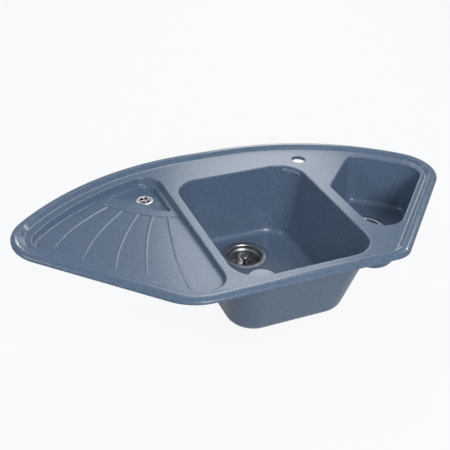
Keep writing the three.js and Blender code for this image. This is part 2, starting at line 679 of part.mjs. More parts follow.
function mouldingSolid() {
  const slab = loftSolid([
    ring(outline(rimPlan, RIM_LAND), DECK_TOP - DECK_THICKNESS),
    ring(outline(rimPlan, RIM_LAND), DECK_TOP - OVERRUN),
  ]);
  const tray = loftSolid([
    ring(outline(trayPlan, -WALL / 4), (x, y) => trayFloor(x, y) - WALL),
    ring(outline(trayPlan, -WALL), (x, y) => trayFloor(x, y) - WALL / 2),
    ring(outline(trayPlan, -WALL), DECK_TOP - DECK_THICKNESS / 2),
  ]);
  const well = loftSolid([
    ring(outline(wellPlan, -WALL / 2), wellUnderside),
    ring(outline(wellPlan, -WALL), wellUnderside + WALL),
    ring(outline(wellPlan, -WALL), DECK_TOP - DECK_THICKNESS),
  ]);
  const landInner = MAIN_CORNER - WALL / 2;
  const land = sector(landInner, OVERFLOW_BOSS_RADIUS, landFrom, landTo, funnelBottom, DECK_TOP - OVERRUN);
  const outside = join([
    loftSolid(rimRings()),
    slab,
    mainBowl(WALL, FLOOR_THICKNESS),
    halfBowl(WALL, FLOOR_THICKNESS),
    tray,
    well,
    land.translate(overflowAxis),
  ]);

  const standing = (radius, bottom, top, centre) => rod(radius, bottom, top, FINE).translate([...centre, 0]);
  const seat = (centre, floor) => [
    standing(FLANGE_RADIUS + SEAT_CLEARANCE, floor - SEAT_DEPTH, floor + OVERRUN, centre),
    standing(WASTE_HOLE_RADIUS, floor - FLOOR_THICKNESS - OVERRUN, floor + OVERRUN, centre),
  ];
  const overflow = [
    sector(overflowCutFrom, OVERFLOW_POCKET_RADIUS + CLEARANCE, OVERFLOW_FROM - OVERFLOW_MARGIN,
      OVERFLOW_TO + OVERFLOW_MARGIN, coverBottom - CLEARANCE, coverTop + CLEARANCE),
    sector(overflowCutFrom, OVERFLOW_BOSS_RADIUS + OVERRUN, slotFrom, slotTo, slotBottom, slotTop),
    ...screwHoles(CLEARANCE),
  ];
  const bowls = cut(outside, [mainBowl(0, 0), halfBowl(0, 0), trayHollow()]);
  return cut(join([bowls, bandSolid(), ...RIBS.map(ribSolid)]), [
    wellHollow(),
    standing(GRATE_RADIUS + WELL_SEAT_CLEARANCE, wellSeat, wellSeat + WALL, wellDrain),
    standing(GRATE_TUBE_RADIUS + WELL_SEAT_CLEARANCE, wellUnderside - OVERRUN, wellSeat + OVERRUN, wellDrain),
    standing(TAP_HOLE_DIAMETER / 2, -ABOVE, ABOVE, tapHole),
    ...seat(mainDrain, mainFloor),
    ...seat(halfDrain, halfFloor),
    ...overflow.map((cutter) => cutter.translate(overflowAxis)),
  ]);
}

add("sink_moulding", geometryOf(mouldingSolid()), granite());

// ---------------------------------------------------------------- the basket wastes

// Heights below are measured from the flange's underside, which lies on the upper gasket.
function flangeSolid() {
  const lower = CUP_LOWER_RADIUS + SHEET;
  const upper = CUP_RADIUS + SHEET;
  const shell = turnedSolid([
    [SCREW_RADIUS + CLEARANCE, -CUP_DEPTH - SHEET],
    [lower - 4, -CUP_DEPTH - SHEET],
    [lower, -CUP_DEPTH + 2],
    [lower, -CUP_STEP_DEPTH - 2],
    [upper, -CUP_STEP_DEPTH],
    [upper, -3],
    [upper + FLANGE_FLARE, 0],
    [FLANGE_RADIUS, 0],
    [FLANGE_RADIUS - 0.6, SHEET],
    [upper + FLANGE_FLARE, SHEET],
    [CUP_RADIUS, -2],
    [CUP_RADIUS, -CUP_STEP_DEPTH + SHEET],
    [CUP_LOWER_RADIUS, -CUP_STEP_DEPTH - 0.8],
    [CUP_LOWER_RADIUS, -CUP_DEPTH + 2],
    [CUP_LOWER_RADIUS - 3, -CUP_DEPTH],
    [SCREW_RADIUS + CLEARANCE, -CUP_DEPTH],
  ]);
  const through = rod(CUP_HOLE_RADIUS, -CUP_DEPTH - SHEET - OVERRUN, -CUP_DEPTH + OVERRUN, 12);
  const hole = through.translate([CUP_HOLE_CIRCLE, 0, 0]);
  return cut(shell, around(CUP_HOLES, (a) => hole.rotate([0, 0, a])));
}

const basketFloor = -CUP_DEPTH + SEAL_THICKNESS;

function basketSolid() {
  const rim = CUP_RADIUS - BASKET_RIM_CLEARANCE;
  const wall = CUP_LOWER_RADIUS - BASKET_WALL_CLEARANCE;
  const hub = basketFloor + BASKET_HUB_RISE;
  const pin = KNOB_PIN_RADIUS + CLEARANCE;
  const shell = turnedSolid([
    [pin, hub],
    [BASKET_HUB_RADIUS, hub],
    [BASKET_HUB_RADIUS + 2, basketFloor],
    [wall - 4, basketFloor],
    [wall - 1, basketFloor + 3.5],
    [wall, -CUP_STEP_DEPTH - 1.2],
    [rim, -BASKET_RIM_DEPTH],
    [rim, -BASKET_RIM_DEPTH + BASKET_SHEET],
    [wall - BASKET_SHEET, -CUP_STEP_DEPTH - 0.7],
    [wall - 1 - BASKET_SHEET, basketFloor + 3.9],
    [wall - 4.4, basketFloor + BASKET_SHEET],
    [BASKET_HUB_RADIUS + 2.6, basketFloor + BASKET_SHEET],
    [BASKET_HUB_RADIUS + 0.6, hub + BASKET_SHEET],
    [pin, hub + BASKET_SHEET],
  ]);
  const middle = (basketFloor - CUP_STEP_DEPTH) / 2;
  const slot = block(12, BASKET_SLOT_WIDTH, BASKET_SLOT_HEIGHT).translate([wall, 0, middle]);
  const through = rod(BASKET_HOLE_RADIUS, basketFloor - OVERRUN, basketFloor + BASKET_SHEET + OVERRUN, 8);
  const hole = through.translate([BASKET_HOLE_CIRCLE, 0, 0]);
  return cut(shell, [
    ...around(BASKET_SLOTS, (a) => slot.rotate([0, 0, a])),
    ...around(BASKET_HOLES, (a) => hole.rotate([0, 0, a])),
  ]);
}

const knobFoot = basketFloor + BASKET_HUB_RISE + BASKET_SHEET;

function knobProfile() {
  const top = SHEET - KNOB_DROP;
  return [
    [0, knobFoot - 2.5],
    [KNOB_PIN_RADIUS, knobFoot - 2.5],
    [KNOB_PIN_RADIUS, knobFoot],
    [KNOB_FOOT_RADIUS, knobFoot],
    [KNOB_FOOT_RADIUS - 1, knobFoot + 1.5],
    [KNOB_STEM_RADIUS + 1, knobFoot + 3],
    [KNOB_STEM_RADIUS, top - 10],
    [KNOB_RADIUS - 2, top - 6.5],
    [KNOB_RADIUS, top - 4],
    [KNOB_RADIUS - 1.5, top - 1.5],
    [KNOB_RADIUS - 5, top],
    [0, top],
  ];
}

const bossTop = -CUP_DEPTH - SHEET;
const bodyTop = SEAT_DEPTH - UPPER_GASKET - FLOOR_THICKNESS - LOWER_GASKET;
const bodyInner = CUP_RADIUS + SHEET + BODY_CLEARANCE;
const bodyOuter = bodyInner + BODY_WALL;
const tailInner = TAIL_RADIUS - BODY_WALL;
const cupBottom = bossTop - BOSS_HEIGHT;
const tailTop = cupBottom - CONE_HEIGHT;
const tailBottom = tailTop - TAIL_LENGTH;
const spigotHeight = (bodyTop - BODY_FLANGE_HEIGHT + cupBottom) / 2;

function wasteBodySolid(withSpigot) {
  const shell = turnedSolid([
    [tailInner, tailBottom],
    [TAIL_RADIUS, tailBottom],
    [TAIL_RADIUS, tailTop],
    [bodyOuter, cupBottom],
    [bodyOuter, bodyTop - BODY_FLANGE_HEIGHT],
    [BODY_FLANGE_RADIUS, bodyTop - BODY_FLANGE_HEIGHT],
    [BODY_FLANGE_RADIUS, bodyTop],
    [bodyInner, bodyTop],
    [bodyInner, cupBottom + BODY_WALL],
    [tailInner, tailTop + BODY_WALL],
  ], COARSE);
  const boss = rod(BOSS_RADIUS, bossTop - BOSS_HEIGHT, bossTop, 16);
  const armLength = bodyInner + BODY_WALL / 2;
  const arm = block(armLength, BOSS_ARM_WIDTH, BOSS_ARM_HEIGHT);
  const armAt = arm.translate([armLength / 2, 0, bossTop - BOSS_HEIGHT / 2]);
  const parts = [shell, boss, ...around(BOSS_ARMS, (a) => armAt.rotate([0, 0, a]))];
  const bores = [rod(SCREW_RADIUS + CLEARANCE, bossTop - SCREW_LENGTH, bossTop + OVERRUN, 16)];
  if (withSpigot) {
    const lying = (radius, from, to) =>
      rod(radius, from, to).rotate([-90, 0, 0]).translate([0, 0, spigotHeight]);
    parts.push(lying(SPIGOT_RADIUS, bodyInner + BODY_WALL / 2, bodyOuter + SPIGOT_LENGTH));
    const spigotEnd = bodyOuter + SPIGOT_LENGTH + OVERRUN;
    bores.push(lying(SPIGOT_RADIUS - SPIGOT_WALL, bodyInner - OVERRUN, spigotEnd));
  }
  return cut(join(parts), bores);
}

function nutSolid() {
  const bottom = tailBottom - WASHER_HEIGHT - NUT_LIP;
  const outer = TAIL_RADIUS + CLEARANCE + NUT_WALL;
  const body = rod(outer, bottom, bottom + NUT_HEIGHT, NUT_SIDES);
  return cut(body, [
    rod(TAIL_RADIUS + CLEARANCE, bottom + NUT_LIP, bottom + NUT_HEIGHT + OVERRUN),
    rod(tailInner, bottom - OVERRUN, bottom + NUT_LIP + OVERRUN),
  ]);
}

function screwProfile() {
  const head = -CUP_DEPTH;
  return [
    [0, head - SCREW_LENGTH + 1],
    [SCREW_RADIUS, head - SCREW_LENGTH + 1],
    [SCREW_RADIUS, head],
    [SCREW_HEAD_RADIUS, head],
    [SCREW_HEAD_RADIUS, head + SCREW_HEAD_HEIGHT - 1],
    [SCREW_HEAD_RADIUS - 2, head + SCREW_HEAD_HEIGHT],
    [0, head + SCREW_HEAD_HEIGHT],
  ];
}

function addWaste(prefix, centre, floor, withSpigot) {
  const place = [...centre, floor - SEAT_DEPTH + UPPER_GASKET];
  const gasketOuter = FLANGE_RADIUS - 1;
  const hubOuter = BASKET_HUB_RADIUS + 2.5;
  const put = (name, geometry, material) => add(`${prefix}_${name}`, geometry, material, place);
  put("waste_flange", geometryOf(flangeSolid()), stainless());
  put("upper_gasket", turned(tube(WASTE_HOLE_RADIUS + 1, gasketOuter, -UPPER_GASKET, 0)), rubber());
  put("lower_gasket", turned(tube(bodyInner, BODY_FLANGE_RADIUS, bodyTop, bodyTop + LOWER_GASKET)), rubber());
  put("waste_body", geometryOf(wasteBodySolid(withSpigot)), whitePlastic());
  put("centre_screw", turned(screwProfile(), 12), stainless());
  put("basket", geometryOf(basketSolid()), stainless());
  put("basket_seal", turned(tube(hubOuter, SEAL_RADIUS, -CUP_DEPTH, basketFloor), COARSE), rubber());
  put("basket_knob", turned(knobProfile(), 16), stainless());
  const washer = tube(tailInner, TAIL_RADIUS, tailBottom - WASHER_HEIGHT, tailBottom);
  put("outlet_washer", turned(washer, COARSE), rubber());
  put("outlet_nut", geometryOf(nutSolid()), whitePlastic());
}

addWaste("main", mainDrain, mainFloor, true);
addWaste("half", halfDrain, halfFloor, false);

// ---------------------------------------------------------------- the drainer's small drain

const wellPlace = [...wellDrain, wellSeat];
const grateBottom = WELL_GASKET - GRATE_LENGTH;
const grateInner = GRATE_TUBE_RADIUS - GRATE_WALL;
const wellNutTop = -WALL - WELL_LOWER_GASKET;
const wellTailTop = wellNutTop - WELL_NUT_HEIGHT - CLEARANCE;

function grateSolid() {
  const ringShell = turnedSolid([
    [grateInner, grateBottom],
    [GRATE_TUBE_RADIUS, grateBottom],
    [GRATE_TUBE_RADIUS, WELL_GASKET],
    [GRATE_RADIUS, WELL_GASKET],
    [GRATE_RADIUS - 0.6, WELL_GASKET + GRATE_FLANGE * 0.7],
    [GRATE_RADIUS - 2, WELL_GASKET + GRATE_FLANGE],
    [grateInner + 1, WELL_GASKET + GRATE_FLANGE],
    [grateInner, WELL_GASKET + GRATE_FLANGE - 1],
  ]);
  const length = 2 * grateInner + GRATE_WALL;
  const bar = (width, depth) => block(width, depth, GRATE_FLANGE).translate([0, 0, WELL_GASKET]);
  return join([ringShell, bar(length, GRATE_BAR), bar(GRATE_BAR, length)]);
}

function wellTailSolid() {
  const outer = GRATE_TUBE_RADIUS + CLEARANCE + WELL_TAIL_WALL;
  const floor = wellTailTop - WELL_TAIL_HEIGHT;
  return turnedSolid([
    [WELL_SPIGOT_RADIUS - SPIGOT_WALL, floor - WELL_SPIGOT_LENGTH],
    [WELL_SPIGOT_RADIUS, floor - WELL_SPIGOT_LENGTH],
    [WELL_SPIGOT_RADIUS, floor - WELL_TAIL_WALL],
    [outer, floor],
    [outer, wellTailTop],
    [GRATE_TUBE_RADIUS + CLEARANCE, wellTailTop],
    [GRATE_TUBE_RADIUS + CLEARANCE, floor + WELL_TAIL_WALL],
    [WELL_SPIGOT_RADIUS - SPIGOT_WALL, floor],
  ], COARSE);
}

function wellNutSolid() {
  const bottom = wellNutTop - WELL_NUT_HEIGHT;
  const body = rod(WELL_NUT_RADIUS, bottom, wellNutTop, 6);
  return body.subtract(rod(GRATE_TUBE_RADIUS + CLEARANCE, bottom - OVERRUN, wellNutTop + OVERRUN));
}

const wellGasketInner = GRATE_TUBE_RADIUS + CLEARANCE;
const wellUpperGasket = tube(wellGasketInner, GRATE_RADIUS - 1, 0, WELL_GASKET);
const wellLowerGasket = tube(wellGasketInner, WELL_NUT_RADIUS - 2, wellNutTop, -WALL);
add("well_grate", geometryOf(grateSolid()), chrome(), wellPlace);
add("well_upper_gasket", turned(wellUpperGasket, COARSE), rubber(), wellPlace);
add("well_lower_gasket", turned(wellLowerGasket, COARSE), rubber(), wellPlace);
add("well_clamp_nut", geometryOf(wellNutSolid()), whitePlastic(), wellPlace);
add("well_outlet_tail", geometryOf(wellTailSolid()), whitePlastic(), wellPlace);

// ---------------------------------------------------------------- the overflow

const gasketInner = OVERFLOW_BOSS_RADIUS + CLEARANCE;
const gasketOuter = gasketInner + OVERFLOW_GASKET;
const funnelInner = gasketOuter + CLEARANCE;
const funnelOuter = funnelInner + OVERFLOW_FUNNEL_DEPTH;

function overflowCoverSolid() {
  const plate = sector(coverInner, OVERFLOW_POCKET_RADIUS, OVERFLOW_FROM, OVERFLOW_TO, coverBottom, coverTop);
  const slit = block(10, OVERFLOW_SLIT_WIDTH, OVERFLOW_SLOT_HEIGHT + 1).translate([coverInner, 0, screwHeight]);
  const step = (slotTo - slotFrom) / OVERFLOW_SLITS;
  const slitTurns = Array.from({ length: OVERFLOW_SLITS }, (_, i) => slotFrom + step * (i + 0.5));
  return cut(plate, [...slitTurns.map((turn) => slit.rotate([0, 0, turn])), ...screwHoles(CLEARANCE)]);
}

function overflowGasketSolid() {
  const pad = sector(gasketInner, gasketOuter, landFrom, landTo, funnelBottom, funnelTop);
  const window = sector(gasketInner - OVERRUN, gasketOuter + OVERRUN, slotFrom, slotTo, slotBottom, slotTop);
  return cut(pad, [window, ...screwHoles(CLEARANCE)]);
}

function overflowFunnelSolid() {
  const reach = funnelInner + OVERFLOW_SPIGOT_RADIUS;
  const turn = landFrom + OVERFLOW_SPIGOT_TURN;
  const top = screwHeight - SCREW_ROOM;
  const bottom = funnelBottom - OVERFLOW_SPIGOT_LENGTH;
  const standing = (radius, from, to) => rod(radius, from, to).translate([reach, 0, 0]).rotate([0, 0, turn]);
  const box = sector(funnelInner, funnelOuter, landFrom, landTo, funnelBottom, funnelTop);
  const roomBottom = funnelBottom + OVERFLOW_FUNNEL_WALL;
  const roomOuter = funnelOuter - OVERFLOW_FUNNEL_WALL;
  const room = sector(funnelInner - OVERRUN, roomOuter, slotFrom + 1, slotTo - 1, roomBottom, slotTop);
  const bore = standing(OVERFLOW_SPIGOT_RADIUS - SPIGOT_WALL, bottom - OVERRUN, top - SPIGOT_WALL);
  const whole = join([box, standing(OVERFLOW_SPIGOT_RADIUS, bottom, top)]);
  return cut(whole, [room, bore, ...screwHoles(CLEARANCE)]);
}

function overflowScrewProfile() {
  const head = coverInner - CLEARANCE;
  return [
    [0, head - 1.4],
    [OVERFLOW_SCREW_HEAD - 0.8, head - 1.4],
    [OVERFLOW_SCREW_HEAD, head - 0.6],
    [OVERFLOW_SCREW_HEAD, head],
    [OVERFLOW_SCREW_RADIUS, head],
    [OVERFLOW_SCREW_RADIUS, head + OVERFLOW_SCREW_LENGTH],
    [0, head + OVERFLOW_SCREW_LENGTH],
  ];
}

add("overflow_cover", geometryOf(overflowCoverSolid()), greyPlastic(), overflowAxis);
add("overflow_gasket", geometryOf(overflowGasketSolid()), rubber(), overflowAxis);
add("overflow_funnel", geometryOf(overflowFunnelSolid()), whitePlastic(), overflowAxis);
["right", "left"].forEach((side, i) => {
  const screw = turned(overflowScrewProfile(), 10).rotateY(Math.PI / 2);
  const mesh = add(`overflow_screw_${side}`, screw, stainless(), overflowAxis);
  mesh.position.z = screwHeight;
  mesh.rotation.z = THREE.MathUtils.degToRad(screwAngles[i]);
});

// ---------------------------------------------------------------- the round label on the main bowl's floor

const labelPlace = [MAIN_CENTRE_X, mainDrain[1] - LABEL_AHEAD, mainFloor];
add("bowl_label", new THREE.CylinderGeometry(LABEL_RADIUS, LABEL_RADIUS, LABEL_THICKNESS, FINE)
  .rotateX(Math.PI / 2)
  .translate(0, 0, LABEL_THICKNESS / 2), paper(), labelPlace);

export default sink;
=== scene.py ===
from math import atan2, cos, degrees, pi, radians, sin, sqrt

import bpy
from mathutils import Matrix, Vector


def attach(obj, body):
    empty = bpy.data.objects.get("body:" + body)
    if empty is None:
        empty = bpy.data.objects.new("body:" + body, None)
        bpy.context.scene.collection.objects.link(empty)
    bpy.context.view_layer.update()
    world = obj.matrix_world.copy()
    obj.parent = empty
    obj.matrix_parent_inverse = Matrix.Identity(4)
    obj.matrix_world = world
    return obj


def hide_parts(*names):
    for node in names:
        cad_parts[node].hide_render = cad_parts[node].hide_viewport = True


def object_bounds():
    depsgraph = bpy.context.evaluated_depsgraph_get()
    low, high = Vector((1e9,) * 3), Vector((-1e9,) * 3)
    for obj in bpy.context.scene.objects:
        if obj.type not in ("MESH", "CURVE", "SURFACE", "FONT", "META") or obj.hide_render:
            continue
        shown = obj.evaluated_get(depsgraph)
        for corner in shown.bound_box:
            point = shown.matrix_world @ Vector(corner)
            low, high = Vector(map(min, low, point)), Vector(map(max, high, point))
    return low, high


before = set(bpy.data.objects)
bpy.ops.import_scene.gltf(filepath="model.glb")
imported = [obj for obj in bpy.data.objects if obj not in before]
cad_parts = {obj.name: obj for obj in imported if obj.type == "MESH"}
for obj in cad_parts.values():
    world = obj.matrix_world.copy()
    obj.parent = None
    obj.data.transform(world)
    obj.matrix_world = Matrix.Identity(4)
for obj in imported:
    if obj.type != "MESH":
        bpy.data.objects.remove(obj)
cad_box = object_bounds()

# ---------------------------------------------------------------- the view
# The photograph looks down on the sink from its front left, a little tilted.

CAMERA_PLACE = (-0.6634, -1.0709, 0.9259)
CAMERA_TURN = 24.4  # degrees to the right of straight back
CAMERA_PITCH = 32.88  # degrees below the horizon
CAMERA_ROLL = 2.48
CAMERA_LENS = 62.3  # mm, on a 36 mm sensor

camera = bpy.data.objects.new("camera", bpy.data.cameras.new("camera"))
bpy.context.collection.objects.link(camera)
camera.data.lens = CAMERA_LENS
camera.data.sensor_width = 36
turn = Matrix.Rotation(radians(-CAMERA_TURN), 4, "Z")
pitch = Matrix.Rotation(radians(90 - CAMERA_PITCH), 4, "X")
roll = Matrix.Rotation(radians(CAMERA_ROLL), 4, "Z")
camera.matrix_world = Matrix.Translation(CAMERA_PLACE) @ turn @ pitch @ roll
bpy.context.scene.camera = camera

# ---------------------------------------------------------------- the sink: its shape
# One casting of quartz sand bound with acrylic resin, poured in a closed mould: rim, deck, ribbed drainer
# with its small well, deep main bowl and shallow half bowl are one piece. Its rim lies on the worktop, at
# height zero. All sizes here are millimetres; the mesh is made in metres.

MM = 0.001

DECK = 2  # the deck's height above the worktop
DECK_THICKNESS = 9
WALL = 8
FLOOR_THICKNESS = 11
ABOVE = 20  # how high the cutters reach

FRONT_EDGE = 12  # ahead of the origin
BACK_EDGE = 559
WING_LINE = 179.6  # each 45 degree front edge, square to it from the origin
BACK_RADIUS = 636
BACK_CENTRE = Vector((49, -77))  # of the right arc, which the left one mirrors
TIP_RADIUS = 103
RIM_BEVEL = 0.6
RIM_EDGE = 3.5  # where the round shoulder starts
SHOULDER_TURN = 78  # degrees of its arc
CREST = 11
CREST_INSET = 18.3
CREST_ROUND = 1.2
RIM_WIDTH = 30
SLOPE_FOOT = RIM_WIDTH - 1.6
RIM_LAND = 25  # where the slab under the deck starts
HAIR = 0.15  # keeps the finer outline inside the frame's


def facing(angle):
    return Vector((cos(radians(angle)), sin(radians(angle))))


def straight(angle, reach):
    """A straight edge of a plan: the way that it faces, and how far out it lies from the origin."""
    return {"angle": angle, "reach": reach}


def bowed(centre, radius, steps):
    """An edge of a plan that is bowed outwards."""
    return {"centre": Vector(centre), "radius": radius, "steps": steps}


def back_edge(side, inset, steps=22):
    """One of the two long arcs at the back, moved in from the rim's edge."""
    return bowed((side * BACK_CENTRE.x, BACK_CENTRE.y), BACK_RADIUS - inset, steps)


def corner_centre(a, b, radius, inset_a, inset_b):
    """The centre of the rounded corner between an edge and the next one."""
    if "centre" in a and "centre" in b:
        reach_a, reach_b = a["radius"] - inset_a - radius, b["radius"] - inset_b - radius
        between = b["centre"] - a["centre"]
        along = (between.length_squared + reach_a ** 2 - reach_b ** 2) / (2 * between.length)
        way = between.normalized()
        return a["centre"] + way * along + Vector((-way.y, way.x)) * sqrt(reach_a ** 2 - along ** 2)
    if "centre" in a or "centre" in b:
        level, level_inset, curve, curve_inset, side = (
            (b, inset_b, a, inset_a, -1) if "centre" in a else (a, inset_a, b, inset_b, 1))
        out = facing(level["angle"])
        depth = level["reach"] - level_inset - radius - out.dot(curve["centre"])
        reach = curve["radius"] - curve_inset - radius
        aside = side * sqrt(max(reach ** 2 - depth ** 2, 0))
        return curve["centre"] + out * depth + Vector((-out.y, out.x)) * aside
    out_a, out_b = facing(a["angle"]), facing(b["angle"])
    reach_a, reach_b = a["reach"] - inset_a - radius, b["reach"] - inset_b - radius
    across = out_a.x * out_b.y - out_a.y * out_b.x
    return Vector((reach_a * out_b.y - reach_b * out_a.y, reach_b * out_a.x - reach_a * out_b.x)) / across


def outline(plan, inset=0.0, loss=None):
    """The closed outline of a plan, counter-clockwise. A plan is a list of (edge, radius of the corner after
    it, steps of that corner), and a radius of 0 means that the edge runs on smoothly."""
    count = len(plan)
    insets = inset if isinstance(inset, list) else [inset] * count
    loss = inset if loss is None else loss
    radii = [max(radius - loss, 0.5) if radius else 0 for _, radius, _ in plan]
    following = [(i + 1) % count for i in range(count)]
    centres = [corner_centre(plan[i][0], plan[n][0], radii[i], insets[i], insets[n])
               for i, n in enumerate(following)]

    def faced(edge, centre):
        if "angle" in edge:
            return edge["angle"]
        way = centre - edge["centre"]
        return degrees(atan2(way.y, way.x))

    points = []

    def sweep(centre, radius, start, end, steps, inner):
        bend = (end - start + 1) % 360 - 1
        for k in range(inner, steps + 1 - inner):
            points.append(centre + facing(start + bend * k / max(steps, 1)) * radius)

    for i, n in enumerate(following):
        edge, beyond = plan[i][0], plan[n][0]
        sweep(centres[i], radii[i], faced(edge, centres[i]), faced(beyond, centres[i]), plan[i][2], 0)
        if "centre" in beyond:
            sweep(beyond["centre"], beyond["radius"] - insets[n], faced(beyond, centres[i]),
                  faced(beyond, centres[n]), beyond["steps"], 1)
    return points


def ring(points, height):
    """The outline's points at a height, or at a height that depends on the place."""
    return [Vector((p.x, p.y, height(p.x, p.y) if callable(height) else height)) for p in points]


def solid(name, rings, bent_floor=False):
    """A closed solid over rings of equal count, from the bottom up. A floor that isn't flat is filled from
    its middle."""
    count = len(rings[0])
    vertices = [v * MM for r in rings for v in r]
    last = len(vertices) - count
    faces = [tuple(range(last, last + count))]
    if bent_floor:
        vertices.append(sum(vertices[:count], Vector((0, 0, 0))) / count)
        faces += [(len(vertices) - 1, (i + 1) % count, i) for i in range(count)]
    else:
        faces.append(tuple(reversed(range(count))))
    for k in range(len(rings) - 1):
        low, high = k * count, (k + 1) * count
        faces += [(low + i, low + (i + 1) % count, high + (i + 1) % count, high + i) for i in range(count)]
    mesh = bpy.data.meshes.new(name)
    mesh.from_pydata(vertices, [], faces)
    piece = bpy.data.objects.new(name, mesh)
    bpy.context.collection.objects.link(piece)
    return piece


def settled(piece):
    """The piece with its modifiers worked into its mesh."""
    bpy.context.view_layer.update()
    shaped = piece.evaluated_get(bpy.context.evaluated_depsgraph_get())
    mesh = bpy.data.meshes.new_from_object(shaped)
    piece.modifiers.clear()
    piece.data = mesh
    return piece


def carved(piece, joined=(), removed=()):
    """The piece with other solids joined to it, and then others cut out of it."""
    for operation, others in (("UNION", joined), ("DIFFERENCE", removed)):
        for other in others:
            step = piece.modifiers.new(other.name, "BOOLEAN")
            step.operation = operation
            step.solver = "MANIFOLD"
            step.object = other
    settled(piece)
    for other in (*joined, *removed):
        bpy.data.objects.remove(other)
    return piece


def smoothed(piece, sharp=38):
    """Smooth shading that stays flat on broad faces and breaks at real edges."""
    piece.data.shade_smooth()
    piece.data.set_sharp_from_angle(angle=radians(sharp))
    weighted = piece.modifiers.new("weighted", "WEIGHTED_NORMAL")
    weighted.keep_sharp = True
    return piece


# The rim's plan: two wings at 45 degrees, round tips, and a back of two long arcs.
rim_plan = [
    (straight(-45, WING_LINE), TIP_RADIUS, 22),
    (back_edge(1, 0), 0, 0),
    (straight(90, BACK_EDGE), 0, 0),
    (back_edge(-1, 0), TIP_RADIUS, 22),
    (straight(225, WING_LINE), 115, 12),
    (straight(270, FRONT_EDGE), 60, 12),
]

MAIN = {"left": -122, "right": 202, "front": 34, "back": 439, "depth": 187, "fillet": 18, "corner": 62}
MAIN_DRAFTS = [30, 8, 30, 55]  # how far the right, back, left and front walls lean in
MAIN_CORNER_LOSS = 8
main_plan = [
    (straight(0, MAIN["right"]), MAIN["corner"], 14),
    (straight(90, MAIN["back"]), MAIN["corner"], 14),
    (straight(180, -MAIN["left"]), MAIN["corner"], 14),
    (straight(270, -MAIN["front"]), MAIN["corner"], 14),
]

HALF = {"left": 233, "depth": 125, "fillet": 14}
HALF_WING_INSET = 41
HALF_BACK_INSET = 49
HALF_INNER_SIDE = 50.2  # the 45 degree inner side, square to it from the origin
HALF_DRAFTS = [14, 15, 15, 5]  # how far the outer, back, inner and left walls lean in
HALF_CORNER_LOSS = 7
half_plan = [
    (straight(-45, WING_LINE - HALF_WING_INSET), 45, 12),
    (back_edge(1, HALF_BACK_INSET, 8), 27, 10),
    (straight(135, HALF_INNER_SIDE), 22, 8),
    (straight(180, -HALF["left"]), 50, 14),
]

TRAY_BACK_INSET = 49
TRAY_WING_INSET = 43
TRAY_FRONT_INSET = 37
TRAY_WALL_RUN = 4  # how far the wall leans in
TRAY_DEPTH = 17
TRAY_FALL = (0.015, 0.018)  # to the right, and to the back
TRAY_RIGHT = -142
tray_plan = [
    (straight(0, TRAY_RIGHT), 45, 12),
    (back_edge(-1, TRAY_BACK_INSET, 18), 48, 14),
    (straight(225, WING_LINE - TRAY_WING_INSET), 80, 10),
    (straight(270, FRONT_EDGE - TRAY_FRONT_INSET), 45, 12),
]

WELL_BACK_INSET = 65
WELL_LEDGE = 9
WELL_RIGHT = TRAY_RIGHT - TRAY_WALL_RUN - WELL_LEDGE
WELL_DRAIN = Vector((-190, 436))
WELL_DEPTH = 13.5
WELL_FALL = (0.155, 0.113)  # to the right, and to the back
WELL_WALL_RUN = 3.5
well_plan = [
    (straight(0, WELL_RIGHT), 25, 10),
    (back_edge(-1, WELL_BACK_INSET, 6), 4, 6),
    (bowed((-68, 569), 238, 14), 5, 6),
]

# Each rib's centre line on the drainer, from its thin front end to its broad end at the well.
RIBS = [
    [(-438, 283), (-381, 351), (-284, 418)],
    [(-393, 222), (-339, 308), (-258, 389)],
    [(-340, 163), (-301, 256), (-229, 364)],
    [(-289, 111), (-248, 244), (-201, 341)],
    [(-220, 48), (-209, 160), (-169, 328)],
]
RIB_HEIGHTS = (1.0, 1.5)  # at the front end and at the well
RIB_HALVES = (3.3, 5.3)  # half the rib's width, likewise
BAND_HEIGHT = 1.8

band_plan = [
    (straight(0, TRAY_RIGHT - 1), 20, 6),
    (back_edge(-1, WELL_BACK_INSET - 8, 6), 4, 6),
    (bowed((-92, 545), 232, 14), 6, 6),
]

TAP_HOLE = (222, 449)
TAP_HOLE_RADIUS = 17.5
TAP_HOLE_EDGE = 1.2

main_floor = DECK - MAIN["depth"]
half_floor = DECK - HALF["depth"]
MAIN_DRAIN = Vector((40, 353.6))
HALF_DRAIN = Vector((332, 278))


def tray_floor(x, y):
    """The drainer falls gently to the well's front corner."""
    right, back = TRAY_FALL
    return DECK - TRAY_DEPTH - right * (x - WELL_RIGHT) - back * (y - RIBS[-1][2][1])


def well_floor(x, y):
    """The well's floor falls from nothing at its left tip to the drain."""
    right, back = WELL_FALL
    fall = right * (x - WELL_DRAIN.x) + back * (y - WELL_DRAIN.y)
    return tray_floor(x, y) - max(WELL_DEPTH + fall, 0.4)


well_seat = well_floor(*WELL_DRAIN)
well_underside = well_seat - WALL


